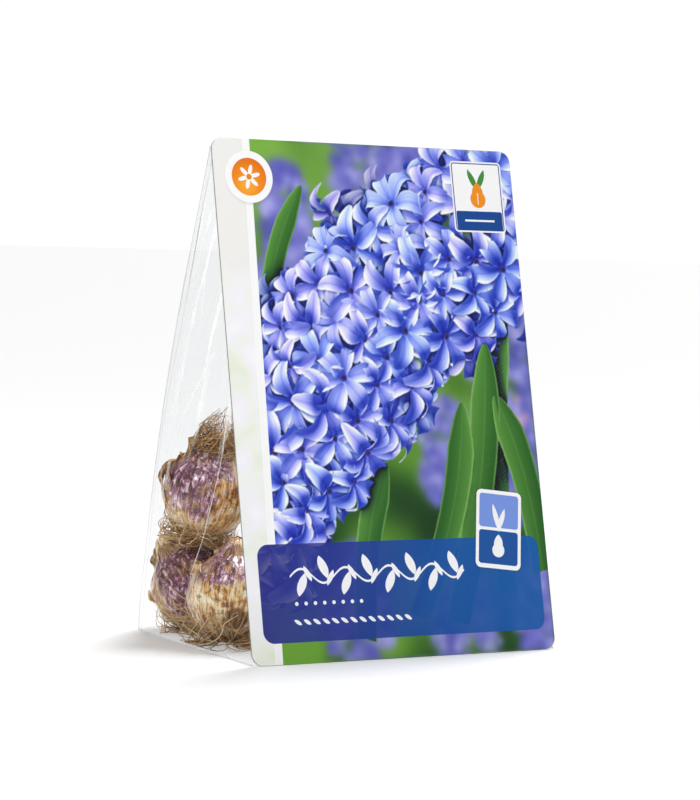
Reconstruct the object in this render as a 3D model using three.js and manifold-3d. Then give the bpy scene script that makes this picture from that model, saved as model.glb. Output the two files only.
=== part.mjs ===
// A retail pack of hyacinth bulbs: a printed card that leans back, a clear film bag behind it, and the bulbs.
// Millimetres, +Z up. The card faces -Y and the origin is the middle of the base.
import * as THREE from 'three';
import { mergeVertices } from 'three/addons/utils/BufferGeometryUtils.js';
import Module from 'manifold-3d';

const wasm = await Module();
wasm.setup();

// Card
const CARD_WIDTH = 175;
const CARD_LENGTH = 260; // along its slope
const CARD_THICKNESS = 1;
const CARD_CORNER_RADIUS = 6;
const CARD_LEAN = 59; // how far the top edge lies behind the foot

// Film bag
const BASE_DEPTH = 130; // from the card's foot to the bag's back fold
const FILM_THICKNESS = 0.6;
const CARD_OVERHANG = 0.5; // card edge past the bag's side panel
const FLANGE_WIDTH = 8;
const SEAL_HEIGHT = 10;
const SEAL_THICKNESS = 1.3;
const TOP_CLEARANCE = 4; // card above the bag
const BACK_EDGE_BOW = 8; // the back folds belly out halfway up
const BACK_EDGE_FULLNESS = 1.2; // a higher power keeps the bow nearer the middle
const BACK_FILL = 18.5; // the bulbs push the back panel out
const BACK_SQUARENESS = 8; // how far the fill keeps on towards the back folds
const BACK_CROWN = 0.6;
const BACK_COLUMNS = 14;
const BACK_FILL_HEIGHT = 35;
const BACK_FILL_SPREAD = 90;
const BACK_FOOT_SHARE = 0.5; // of the fill, at the base
const BACK_FOOT_HEIGHT = 18; // where the whole fill is reached
const SIDE_FILL = 2.6;
const SIDE_FILL_HEIGHT = 42;
const SIDE_FILL_SPREAD = 65;
const FOOT_ROUNDING = 6;
const FOOT_TUCK = 0.6; // how far the back tucks in at the base, of the rounding
const CREASE_DENT = 1.4;
const CREASE_TOP = 150; // the dent fades out up to here
const CREASE_FADE = 60;
const CREASE_LIMIT = 0.7; // the crease stays this far forward, of the side panel's depth
const WINDOW_CUT = 4; // depth of the cut that opens the front panel
// The fold in each side panel, as [height, distance behind the card's foot]
const SIDE_CREASE = [[0, 24], [10, 54], [36, 67], [55, 55], [91, 41], [128, 32]];
const BAG_LEVELS = [0, 1, 3, 6, 14, 24, 36, 52, 70, 90, 112, 135, 160, 188, 216];

// Bulbs
const BULB_RADIUS = 23.5;
const NECK_RISE = 0.3; // of the radius
const SKIN_HOLLOW = 0.5; // how far two bulbs' skins lie inside their radii where they meet
const SKIN_SWELL = 0.008; // of the radius
const SHOULDER = { dip: 0.05, polar: 0.66, spread: 0.3 };
const BASE = { dip: 0.04, spread: 0.5 };
const NECK_SPREAD = 0.3;
const PLATE_SPREAD = 0.35;
const RIBS = { count: 9, height: 0.006, sway: 2 };
const DENTS = { count: 3, depth: 0.008, slant: 2.3 };
const SKIN_EDGES = { count: 2, height: 0.018, slant: 0.5, fullness: 1.6 };
const SEAT_GAP = 0.3;
const BACK_ALLOWANCE = 1.5; // what grows on a bulb stays this far off the back panel's facets

// What grows loose on a bulb. Polar angles run from the neck, lifts are from the skin, and a pair is
// the least value and the range of the draw above it.
const ROOT_THICKNESS = 1.1;
const STRAND_STEPS = 4;
const STRAND_RADIUS = 0.7; // of the thickness
const STRAND_MARGIN = 0.8;
const FLAP_THICKNESS = 0.7;
const FLAP_CELLS = 2; // along and across
const FLAP_TAPER = 0.75;
const FLAP_CURL = 1.3;
const FLAP_TWIST = 0.1;
const FLAP_ROOT = -1.6;
const FLAP_LEAST_SINE = 0.35; // keeps a flap near the neck from wrapping round it
const SCRAP = { stagger: 0.7, from: [1.15, 0.5], to: [0.62, 0.3], width: 0.75, lift: [1.6, 1.5] };
const TATTER = { stagger: 0.5, from: [0.5, 0], to: [0.16, 0.1], width: 0.35, lift: [3, 5] };
const ROOT = { stagger: 0.6, sweep: 1.6 };
const ROOT_COURSE = [
  { rise: 0.2, reach: 0, sweep: 0, lift: [-2, 0] },
  { rise: 0.45, reach: 0, sweep: 0.1, lift: [1.5, 1] },
  { rise: 0.45, reach: 0.5, sweep: 0.5, lift: [2, 1] },
  { rise: 0.4, reach: 1, sweep: 1, lift: [1.2, 2] },
];
const STRAW = { stagger: 0.5 };
const STRAW_COURSE = [
  { polar: [0.35, 0.15], around: 0, lift: [-3, 0] },
  { polar: [0.55, 0.2], around: 0.3, lift: [4, 5] },
  { polar: [0.5, 0.1], around: 0.8, lift: [8, 7] },
  { polar: [0.3, 0.2], around: 1.3, lift: [8, 9] },
];

const WELD = 1e-4;

const halfCard = CARD_WIDTH / 2;
const halfBag = halfCard - CARD_OVERHANG;
const cardRise = Math.sqrt(CARD_LENGTH ** 2 - CARD_LEAN ** 2);
const leanAngle = Math.asin(CARD_LEAN / CARD_LENGTH);
const bagTop = cardRise - TOP_CLEARANCE;

const bell = (value, middle, spread) => Math.exp(-(((value - middle) / spread) ** 2));
const mix = (from, to, share) => from + (to - from) * share;
const smooth = (share) => {
  const s = Math.min(Math.max(share, 0), 1);
  return s * s * (3 - 2 * s);
};

// Solids

function bareGeometry(geometry) {
  const bare = geometry.clone();
  bare.deleteAttribute('normal');
  bare.deleteAttribute('uv');
  return mergeVertices(bare, WELD);
}

function toSolid(geometry) {
  const bare = bareGeometry(geometry);
  return new wasm.Manifold(new wasm.Mesh({
    numProp: 3,
    vertProperties: new Float32Array(bare.attributes.position.array),
    triVerts: new Uint32Array(bare.index.array),
  }));
}

function toGeometry(solid) {
  const mesh = solid.getMesh();
  const geometry = new THREE.BufferGeometry();
  geometry.setAttribute('position', new THREE.BufferAttribute(new Float32Array(mesh.vertProperties), 3));
  geometry.setIndex(new THREE.BufferAttribute(new Uint32Array(mesh.triVerts), 1));
  geometry.computeVertexNormals();
  return geometry;
}

function largestPiece(solid) {
  return solid.decompose().reduce((best, piece) => (piece.volume() > best.volume() ? piece : best));
}

// A closed skin through level rings of points, lowest ring first. A ring runs counter-clockwise from
// the right front, and its left half mirrors its right half.
function loftGeometry(rings) {
  const count = rings[0].length;
  const positions = rings.flat().flatMap((point) => point.toArray());
  const index = [];
  for (let level = 0; level < rings.length - 1; level += 1) {
    for (let i = 0; i < count; i += 1) {
      const a = level * count + i;
      const b = level * count + (i + 1) % count;
      index.push(a, b, b + count);
      index.push(a, b + count, a + count);
    }
  }
  const last = (rings.length - 1) * count;
  for (let right = 0; right < Math.floor((count - 1) / 2); right += 1) {
    const left = count - 1 - right;
    const corners = [right, right + 1, left - 1, left];
    const triangles = left - 1 > right + 1 ? [[0, 1, 2], [0, 2, 3]] : [[0, 1, 3]];
    for (const [a, b, c] of triangles) {
      index.push(corners[a], corners[c], corners[b]);
      index.push(last + corners[a], last + corners[b], last + corners[c]);
    }
  }
  const geometry = new THREE.BufferGeometry();
  geometry.setAttribute('position', new THREE.Float32BufferAttribute(positions, 3));
  geometry.setIndex(index);
  return geometry;
}

// Card

function cardGeometry() {
  const r = CARD_CORNER_RADIUS;
  const outline = new THREE.Shape();
  outline.moveTo(-halfCard + r, 0);
  outline.lineTo(halfCard - r, 0);
  outline.absarc(halfCard - r, r, r, -Math.PI / 2, 0);
  outline.lineTo(halfCard, CARD_LENGTH - r);
  outline.absarc(halfCard - r, CARD_LENGTH - r, r, 0, Math.PI / 2);
  outline.lineTo(-halfCard + r, CARD_LENGTH);
  outline.absarc(-halfCard + r, CARD_LENGTH - r, r, Math.PI / 2, Math.PI);
  outline.lineTo(-halfCard, r);
  outline.absarc(-halfCard + r, r, r, Math.PI, Math.PI * 1.5);
  const geometry = new THREE.ExtrudeGeometry(outline, {
    depth: CARD_THICKNESS,
    bevelEnabled: false,
    curveSegments: 6,
  });
  geometry.translate(0, 0, -CARD_THICKNESS);
  return bareGeometry(geometry);
}

// Film bag

// The film's front surface at a height, just behind the card.
function bagFrontY(z) {
  return z * Math.tan(leanAngle) + (CARD_THICKNESS + SEAT_GAP) / Math.cos(leanAngle);
}

function backFoldY(z) {
  const share = z / bagTop;
  const straight = mix(BASE_DEPTH, bagFrontY(bagTop) + SEAL_THICKNESS, share);
  const belly = BACK_EDGE_BOW * Math.max(Math.sin(Math.PI * share), 0) ** BACK_EDGE_FULLNESS;
  const round = Math.max(1 - z / FOOT_ROUNDING, 0);
  return straight + belly - FOOT_ROUNDING * FOOT_TUCK * (1 - Math.sqrt(1 - round * round));
}

function backPanelY(x, z) {
  const crown = 1 - Math.abs(x / halfBag) ** BACK_SQUARENESS;
  const foot = mix(BACK_FOOT_SHARE, 1, smooth(z / BACK_FOOT_HEIGHT));
  const taut = BACK_CROWN * (1 - (x / halfBag) ** 2);
  return backFoldY(z) + taut + BACK_FILL * foot * crown * bell(z, BACK_FILL_HEIGHT, BACK_FILL_SPREAD);
}

function creaseY(z) {
  const last = SIDE_CREASE.at(-1);
  if (z >= last[0]) return last[1] + (z - last[0]) * Math.tan(leanAngle);
  const upper = SIDE_CREASE.findIndex(([height]) => height > z);
  const [lowZ, lowY] = SIDE_CREASE[upper - 1];
  const [highZ, highY] = SIDE_CREASE[upper];
  return mix(lowY, highY, smooth((z - lowZ) / (highZ - lowZ)));
}

function sideOut(share, z) {
  return SIDE_FILL * Math.sin(Math.PI * share) * bell(z, SIDE_FILL_HEIGHT, SIDE_FILL_SPREAD);
}

// One level of the bag's outline, moved in by the wall's thickness.
function bagRing(z, wall) {
  const front = bagFrontY(z) + wall;
  const back = backFoldY(z) - wall;
  const crease = Math.min(creaseY(z), mix(front, back, CREASE_LIMIT));
  const dent = CREASE_DENT * smooth((CREASE_TOP - z) / CREASE_FADE);
  const side = [
    [front, 0],
    [mix(front, crease, 0.5), 0],
    [crease, dent],
    [mix(crease, back, 0.35), 0],
    [mix(crease, back, 0.7), 0],
    [back, 0],
  ].map(([y, inward]) => {
    const share = (y - front) / (back - front);
    return [halfBag - wall + sideOut(share, z) - inward * Math.sin(Math.PI * share), y];
  });
  const ring = side.map(([x, y]) => new THREE.Vector3(x, y, z));
  for (let i = 1; i < BACK_COLUMNS; i += 1) {
    const x = (halfBag - wall) * Math.cos(Math.PI * i / BACK_COLUMNS);
    ring.push(new THREE.Vector3(x, backPanelY(x, z) - wall, z));
  }
  side.reverse();
  return ring.concat(side.map(([x, y]) => new THREE.Vector3(-x, y, z)));
}

function bagSolid() {
  const outer = toSolid(loftGeometry([...BAG_LEVELS, bagTop].map((z) => bagRing(z, 0))));
  const innerLevels = [FILM_THICKNESS, ...BAG_LEVELS.slice(2), bagTop - SEAL_HEIGHT];
  const inner = toSolid(loftGeometry(innerLevels.map((z) => bagRing(z, FILM_THICKNESS))));
  const windowHeight = (bagTop - SEAL_HEIGHT) / Math.cos(leanAngle) - 2 * FLANGE_WIDTH;
  const opening = new THREE.BoxGeometry(2 * (halfBag - FLANGE_WIDTH), WINDOW_CUT, windowHeight);
  opening.translate(0, CARD_THICKNESS, FLANGE_WIDTH + windowHeight / 2);
  opening.rotateX(-leanAngle);
  return outer.subtract(inner).subtract(toSolid(opening));
}

// Bulbs

// The middle of a bulb that lies on three others of its own size.
function restingPlace(...carriers) {
  const [a, b, c] = carriers.map(({ at }) => new THREE.Vector3(...at));
  const triangle = new THREE.Triangle(a, b, c);
  const ab = b.clone().sub(a);
  const ac = c.clone().sub(a);
  const normal = triangle.getNormal(new THREE.Vector3());
  const up = normal.z > 0 ? normal : normal.negate();
  const cross = ab.clone().cross(ac);
  const toMiddle = cross.clone().cross(ab).multiplyScalar(ac.lengthSq())
    .add(ac.clone().cross(cross).multiplyScalar(ab.lengthSq()))
    .divideScalar(2 * cross.lengthSq());
  const spacing = 2 * BULB_RADIUS + SEAT_GAP - SKIN_HOLLOW;
  const rise = Math.sqrt(spacing ** 2 - toMiddle.lengthSq());
  return a.add(toMiddle).addScaledVector(up, rise).toArray();
}

// Each bulb: its place behind the card, the way its neck points, a turn about its own axis, and its detail.
const LOW = FILM_THICKNESS + SEAT_GAP + BULB_RADIUS;
const shown = { across: 26, rows: 17, flaps: 6, tatters: 5, roots: 8, reach: 0.75 };
const hidden = { across: 20, rows: 13, flaps: 2, tatters: 3, roots: 4, reach: 0.6 };
const BULBS = {
  bulb_left_front: { at: [-64, 67, LOW], neck: [0.2, 0.2, 1], turn: 0.4, ...shown },
  bulb_left_rear: { at: [-61.5, 114.2, LOW + 0.3], neck: [-0.45, 0.5, 0.74], turn: 2.1, ...shown },
  bulb_left_upper: {
    at: [-61.5, 102, 73.5],
    neck: [0.12, -0.05, 1],
    turn: 4.2,
    ...shown,
    straw: 9,
    plate: 0.15,
    claim: 20,
  },
  bulb_front_left: { at: [-32, 32, LOW], neck: [0.3, -0.2, 1], turn: 1.3, ...hidden },
  bulb_front_right: { at: [62.5, 32, LOW], neck: [0.25, 0.3, 1], turn: 3.3, ...hidden },
  bulb_middle: { at: [-8, 73, LOW], neck: [-0.3, 0.2, 1], turn: 5.1, ...hidden },
  bulb_right: { at: [40, 73.5, LOW], neck: [0.3, -0.6, 1], turn: 0.9, ...hidden },
  bulb_rear_middle: { at: [16, 114.5, LOW], neck: [-0.5, 0.3, 1], turn: 2.7, ...hidden },
  bulb_rear_right: { at: [63.5, 114.5, LOW], neck: [0.45, 0.5, 1], turn: 4.7, ...hidden },
};
BULBS.bulb_right_upper = {
  at: restingPlace(BULBS.bulb_right, BULBS.bulb_rear_middle, BULBS.bulb_rear_right),
  neck: [0.3, 0.1, 1],
  turn: 1.8,
  ...hidden,
};

// A repeatable scatter of numbers between 0 and 1.
const scatter = (seed) => {
  const value = Math.sin(seed * 12.9898 + 4.1414) * 43758.5453;
  return value - Math.floor(value);
};

const drawn = ([least, range], draw) => least + range * draw;

// The distance from the bulb's middle to its skin; polar is measured from the neck.
function skinRadius(bulb, polar, around) {
  const { turn } = bulb;
  const plate = (bulb.plate ?? 0) * bell(polar, Math.PI, PLATE_SPREAD);
  const neck = NECK_RISE * bell(polar, 0, NECK_SPREAD);
  const shoulder = -SHOULDER.dip * bell(polar, SHOULDER.polar, SHOULDER.spread);
  const base = -BASE.dip * bell(polar, Math.PI, BASE.spread);
  const belt = Math.sin(polar) ** 2;
  const ribSway = RIBS.sway * Math.sin(2 * polar);
  const ribs = RIBS.height * Math.cos(RIBS.count * around + ribSway + turn) * belt;
  const dents = DENTS.depth * Math.sin(DENTS.count * around + DENTS.slant * polar + 2 * turn) * belt;
  const lap = ((around + SKIN_EDGES.slant * polar + turn) / (2 * Math.PI)) % 1;
  const lapShare = ((lap * SKIN_EDGES.count) % 1 + 1) % 1;
  const skins = -SKIN_EDGES.height * lapShare * Math.min(belt * SKIN_EDGES.fullness, 1);
  return BULB_RADIUS * (1 + neck + shoulder + base + plate + ribs + Math.min(dents, 0) + skins + SKIN_SWELL);
}

// The turn that brings the bulb's own axis to the way its neck points.
function bulbTurn(bulb) {
  const up = new THREE.Vector3(0, 0, 1);
  return new THREE.Quaternion().setFromUnitVectors(up, new THREE.Vector3(...bulb.neck).normalize());
}

function onBulb(bulb, polar, around, lift) {
  const distance = skinRadius(bulb, polar, around) + lift;
  const point = new THREE.Vector3().setFromSphericalCoords(distance, polar, around);
  return new THREE.Vector3(point.x, -point.z, point.y).applyQuaternion(bulbTurn(bulb));
}

function bulbBody(bulb) {
  const geometry = bareGeometry(new THREE.SphereGeometry(1, bulb.across, bulb.rows));
  const position = geometry.attributes.position;
  const point = new THREE.Vector3();
  for (let i = 0; i < position.count; i += 1) {
    point.fromBufferAttribute(position, i);
    const polar = Math.acos(THREE.MathUtils.clamp(point.y, -1, 1));
    const around = Math.atan2(point.x, point.z);
    point.copy(onBulb(bulb, polar, around, 0));
    position.setXYZ(i, point.x, point.y, point.z);
  }
  return geometry;
}

// The walls and neighbours that a bulb's loose parts stay clear of, as planes round the bulb's middle.
function clearPlanes(bulb) {
  const centre = new THREE.Vector3(...bulb.at);
  const planes = Object.values(BULBS).filter((other) => other !== bulb).map((other) => {
    const away = new THREE.Vector3(...other.at).sub(centre);
    const free = away.length() - 2 * BULB_RADIUS - SEAT_GAP;
    const claim = bulb.claim ?? 1;
    const share = claim / (claim + (other.claim ?? 1));
    return { normal: away.clone().normalize(), reach: BULB_RADIUS + free * share };
  });
  const floor = bulb.at[2] - FILM_THICKNESS - SEAT_GAP;
  planes.push({ normal: new THREE.Vector3(0, 0, -1), reach: floor });
  const card = new THREE.Vector3(0, -Math.cos(leanAngle), Math.sin(leanAngle));
  const cardReach = (bulb.at[1] - bagFrontY(bulb.at[2])) * Math.cos(leanAngle);
  planes.push({ normal: card, reach: cardReach - FILM_THICKNESS - SEAT_GAP });
  return planes;
}

function keepClear(point, bulb, planes, margin) {
  const kept = point.clone();
  for (const { normal, reach } of planes) {
    const over = kept.dot(normal) - reach + margin;
    if (over > 0) kept.addScaledVector(normal, -over);
  }
  const [x, y, z] = bulb.at;
  const wall = FILM_THICKNESS + SEAT_GAP + margin;
  const height = Math.max(kept.z + z, 0);
  const across = THREE.MathUtils.clamp(kept.x + x, -halfBag, halfBag);
  const back = backPanelY(across, height) - BACK_ALLOWANCE - wall;
  kept.y = Math.min(kept.y, back - y);
  kept.x = THREE.MathUtils.clamp(kept.x, -halfBag + wall - x, halfBag - wall - x);
  return kept;
}

// A dry root or fibre: a thin three-sided strand through points near the skin.
function strand(bulb, planes, stations) {
  const margin = STRAND_MARGIN * ROOT_THICKNESS;
  const points = stations.map(([polar, around, lift]) => {
    return keepClear(onBulb(bulb, polar, around, lift), bulb, planes, margin);
  });
  const section = new THREE.Shape();
  for (let corner = 0; corner < 3; corner += 1) {
    const angle = corner * 2 * Math.PI / 3;
    const x = Math.cos(angle) * ROOT_THICKNESS * STRAND_RADIUS;
    const y = Math.sin(angle) * ROOT_THICKNESS * STRAND_RADIUS;
    if (corner === 0) section.moveTo(x, y);
    else section.lineTo(x, y);
  }
  return new THREE.ExtrudeGeometry(section, {
    steps: STRAND_STEPS,
    bevelEnabled: false,
    extrudePath: new THREE.CatmullRomCurve3(points),
  });
}

// A papery flap of skin: a thin blade that starts inside the bulb and lifts off towards the neck.
function flap(bulb, planes, around, kind, draw) {
  const sheet = (depth) => {
    const points = [];
    for (let row = 0; row <= FLAP_CELLS; row += 1) {
      const along = row / FLAP_CELLS;
      const polar = mix(drawn(kind.from, draw), drawn(kind.to, draw), along);
      const taper = 1 - FLAP_TAPER * along ** 2;
      const spanRow = kind.width * taper / Math.max(Math.sin(polar), FLAP_LEAST_SINE);
      for (let column = 0; column <= FLAP_CELLS; column += 1) {
        const across = column / FLAP_CELLS - 0.5;
        const height = mix(FLAP_ROOT, drawn(kind.lift, draw), along ** FLAP_CURL) + depth;
        const point = onBulb(bulb, polar, around + spanRow * across + FLAP_TWIST * along, height);
        points.push(keepClear(point, bulb, planes, FLAP_THICKNESS - depth));
      }
    }
    return points;
  };
  return sheetGeometry(sheet(FLAP_THICKNESS), sheet(0), FLAP_CELLS, FLAP_CELLS);
}

// A closed thin sheet from an outer and an inner grid of points.
function sheetGeometry(outer, inner, rows, columns) {
  const stride = columns + 1;
  const count = outer.length;
  const index = [];
  for (let row = 0; row < rows; row += 1) {
    for (let column = 0; column < columns; column += 1) {
      const a = row * stride + column;
      const [b, c, d] = [a + 1, a + stride + 1, a + stride];
      index.push(a, b, c, a, c, d);
      index.push(count + a, count + c, count + b, count + a, count + d, count + c);
    }
  }
  const rim = [];
  for (let column = 0; column < columns; column += 1) rim.push(column);
  for (let row = 0; row < rows; row += 1) rim.push(row * stride + columns);
  for (let column = columns; column > 0; column -= 1) rim.push(rows * stride + column);
  for (let row = rows; row > 0; row -= 1) rim.push(row * stride);
  rim.forEach((a, i) => {
    const b = rim[(i + 1) % rim.length];
    index.push(a, count + b, b, a, count + a, count + b);
  });
  const geometry = new THREE.BufferGeometry();
  const positions = [...outer, ...inner].flatMap((point) => point.toArray());
  geometry.setAttribute('position', new THREE.Float32BufferAttribute(positions, 3));
  geometry.setIndex(index);
  return geometry;
}

// Where the pieces of one kind grow round a bulb, each with its own draw.
function spots(bulb, count, kind, seed, start) {
  return Array.from({ length: count }, (unused, i) => {
    const draw = scatter(i + seed * bulb.turn);
    return { draw, around: (i + kind.stagger * draw) * 2 * Math.PI / count + start };
  });
}

function bulbPieces(bulb, planes) {
  const scraps = spots(bulb, bulb.flaps, SCRAP, 10, bulb.turn)
    .map(({ draw, around }) => flap(bulb, planes, around, SCRAP, draw));
  const tatters = spots(bulb, bulb.tatters, TATTER, 20, 0)
    .map(({ draw, around }) => flap(bulb, planes, around, TATTER, draw));
  const roots = spots(bulb, bulb.roots, ROOT, 30, bulb.turn).map(({ draw, around }) => {
    const sweep = (draw - 0.5) * ROOT.sweep;
    return strand(bulb, planes, ROOT_COURSE.map((station) => [
      Math.PI - station.rise - station.reach * bulb.reach,
      around + station.sweep * sweep,
      drawn(station.lift, draw),
    ]));
  });
  const straw = spots(bulb, bulb.straw ?? 0, STRAW, 40, 0).map(({ draw, around }) => {
    return strand(bulb, planes, STRAW_COURSE.map((station) => [
      drawn(station.polar, draw),
      around + station.around,
      drawn(station.lift, draw),
    ]));
  });
  return [...scraps, ...tatters, ...roots, ...straw];
}

function bulbSolid(bulb) {
  const planes = clearPlanes(bulb);
  const pieces = bulbPieces(bulb, planes).map((piece) => toSolid(piece));
  return largestPiece(pieces.reduce((joined, piece) => joined.add(piece), toSolid(bulbBody(bulb))));
}

// Materials

const cardMaterial = new THREE.MeshStandardMaterial({ color: 0x8090d0, roughness: 0.35, metalness: 0 });
const filmMaterial = new THREE.MeshStandardMaterial({
  color: 0xe8ecee,
  roughness: 0.1,
  metalness: 0,
  transparent: true,
  opacity: 0.3,
});
const skinMaterial = new THREE.MeshStandardMaterial({ color: 0xb08a5a, roughness: 0.6, metalness: 0 });

// The pack

function named(name, geometry, material) {
  const mesh = new THREE.Mesh(geometry, material);
  mesh.name = name;
  return mesh;
}

const pack = new THREE.Group();
const totalDepth = Math.max(...BAG_LEVELS.map((z) => backPanelY(0, z)));
pack.position.y = -totalDepth / 2;

const card = named('printed_card', cardGeometry(), cardMaterial);
card.rotation.x = Math.PI / 2 - leanAngle;
card.position.z = CARD_THICKNESS * Math.sin(leanAngle);
pack.add(card);

pack.add(named('film_bag', toGeometry(bagSolid()), filmMaterial));

for (const [name, bulb] of Object.entries(BULBS)) {
  const mesh = named(name, toGeometry(bulbSolid(bulb)), skinMaterial.clone());
  mesh.position.set(...bulb.at);
  pack.add(mesh);
}

const model = new THREE.Group();
model.add(pack);

export default model;
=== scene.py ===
# A retail pack of hyacinth bulbs: a leaning printed card, a clear film bag glued behind it, and ten bulbs.
import math

import bpy
import numpy as np
from mathutils import Matrix, Vector


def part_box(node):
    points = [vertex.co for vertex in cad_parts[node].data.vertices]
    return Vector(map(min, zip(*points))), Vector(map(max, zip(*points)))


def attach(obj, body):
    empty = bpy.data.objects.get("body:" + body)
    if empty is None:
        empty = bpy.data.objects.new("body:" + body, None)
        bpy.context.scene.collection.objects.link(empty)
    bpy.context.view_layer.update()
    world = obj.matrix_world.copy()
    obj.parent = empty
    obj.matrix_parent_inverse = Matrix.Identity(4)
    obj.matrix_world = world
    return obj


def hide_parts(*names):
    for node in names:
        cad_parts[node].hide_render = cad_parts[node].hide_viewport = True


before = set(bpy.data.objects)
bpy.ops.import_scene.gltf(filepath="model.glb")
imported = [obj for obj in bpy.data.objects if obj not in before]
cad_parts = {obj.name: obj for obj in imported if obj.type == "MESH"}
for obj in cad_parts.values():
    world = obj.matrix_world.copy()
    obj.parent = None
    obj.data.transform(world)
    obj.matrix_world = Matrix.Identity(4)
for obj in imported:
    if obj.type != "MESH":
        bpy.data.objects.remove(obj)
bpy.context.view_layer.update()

MM = 0.001

# Card, in millimetres: u runs from its left edge, v from its foot along the slope
CARD_WIDTH = 175
CARD_LENGTH = 260
CARD_THICKNESS = 1
CARD_CORNER_RADIUS = 6
CARD_LEAN = 59
FRONT_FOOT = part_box("printed_card")[0][1] / MM

# Film bag
BASE_DEPTH = 130
FILM_THICKNESS = 0.6
CARD_OVERHANG = 0.5
FLANGE_WIDTH = 8
SEAL_HEIGHT = 10
SEAL_THICKNESS = 1.3
TOP_CLEARANCE = 4
BACK_EDGE_BOW = 8
BACK_EDGE_FULLNESS = 1.2
BACK_FILL = 18.5
BACK_SQUARENESS = 8
BACK_CROWN = 0.6
BACK_FILL_HEIGHT = 35
BACK_FILL_SPREAD = 90
BACK_FOOT_SHARE = 0.5
BACK_FOOT_HEIGHT = 18
SIDE_FILL = 2.6
SIDE_FILL_HEIGHT = 42
SIDE_FILL_SPREAD = 65
FOOT_ROUNDING = 6
FOOT_TUCK = 0.6
CREASE_DENT = 1.4
CREASE_WIDTH = 16
CREASE_SHARPNESS = 1.4
CREASE_FADE = (90, 150)  # heights between which the crease dies out
CREASE_LIMIT = 0.7
SEAT_GAP = 0.3
# The fold in each side panel, as [height, distance behind the card's foot]
SIDE_CREASE = ((0, 24), (10, 54), (36, 67), (55, 55), (91, 41), (128, 32))

# Bulbs
BULB_RADIUS = 23.5
NECK_RISE = 0.3
NECK_SPREAD = 0.3
SKIN_HOLLOW = 0.5

HALF_CARD = CARD_WIDTH / 2
HALF_BAG = HALF_CARD - CARD_OVERHANG
LEAN = math.asin(CARD_LEAN / CARD_LENGTH)
CARD_RISE = math.sqrt(CARD_LENGTH ** 2 - CARD_LEAN ** 2)
BAG_TOP = CARD_RISE - TOP_CLEARANCE


def bell(value, middle, spread):
    return np.exp(-((value - middle) / spread) ** 2)


def mix(start, end, share):
    return start + (end - start) * share


def ease(share):
    kept = np.clip(share, 0, 1)
    return kept * kept * (3 - 2 * kept)


def unit(vector):
    vector = np.asarray(vector, float)
    return vector / np.linalg.norm(vector, axis=-1, keepdims=True)


GAMMA = 2.2


def ink(red, green, blue):
    """A printed or seen colour, 0 to 255, as the linear colour that the shaders take."""
    return tuple((np.array([red, green, blue]) / 255) ** GAMMA)


def tint(start, end, share):
    """A colour between two others, 0 to 255."""
    return mix(np.array(start), np.array(end), share)


def noted(*parts):
    """Numbers of any shapes that fit together, side by side as vectors."""
    return np.stack(np.broadcast_arrays(*parts), axis=-1)


# ---------------------------------------------------------------- camera, floor and light

FOCAL_PIXELS = 2714.3
PHOTO_HEIGHT = 800
SENSOR = 36
CAMERA_YAW = math.radians(30.266)
CAMERA_PITCH = math.radians(3.4)
CAMERA_ROLL = math.radians(1.728)
CAMERA_BESIDE_CARD = 611.95
CAMERA_BEFORE_CARD = 1132.88
CAMERA_HEIGHT = 205.7


def set_camera():
    forward = Vector((
        math.sin(CAMERA_YAW) * math.cos(CAMERA_PITCH),
        math.cos(CAMERA_YAW) * math.cos(CAMERA_PITCH),
        -math.sin(CAMERA_PITCH),
    ))
    level = Vector((math.cos(CAMERA_YAW), -math.sin(CAMERA_YAW), 0))
    upward = level.cross(forward)
    right = math.cos(CAMERA_ROLL) * level + math.sin(CAMERA_ROLL) * upward
    up = math.cos(CAMERA_ROLL) * upward - math.sin(CAMERA_ROLL) * level
    place = Vector((-HALF_CARD - CAMERA_BESIDE_CARD, FRONT_FOOT - CAMERA_BEFORE_CARD, CAMERA_HEIGHT))
    camera = bpy.data.objects.new("camera", bpy.data.cameras.new("camera"))
    camera.data.sensor_fit = "VERTICAL"
    camera.data.sensor_height = SENSOR
    camera.data.lens = FOCAL_PIXELS / PHOTO_HEIGHT * SENSOR
    camera.data.clip_end = 100
    camera.matrix_world = Matrix.Translation(place * MM) @ Matrix((right, up, -forward)).transposed().to_4x4()
    bpy.context.collection.objects.link(camera)
    bpy.context.scene.camera = camera


FLOOR_SIZE = 60  # metres
FLOOR_TONE = (0.93, 0.93, 0.93)
OVERHEAD_FROM = (0.5, 0.3, 0.81)
OVERHEAD_STRENGTH = 3.0
OVERHEAD_SPREAD = math.radians(30)
SOFT_LIGHTS = {
    # name: (place in metres, width, height, power)
    "key_light": ((-0.9, -0.65, 1.15), 0.3, 0.3, 9),
    "front_light": ((0.2, -1.9, 0.5), 1.0, 0.8, 2),
    "strip_light": ((-0.95, 1.35, 0.35), 0.10, 0.9, 1.4),
}
LIGHTS_AIM_AT = (0, 0, 0.1)
ROOM_BRIGHTNESS = 0.3
BACKDROP_BRIGHTNESS = 1.02


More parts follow.
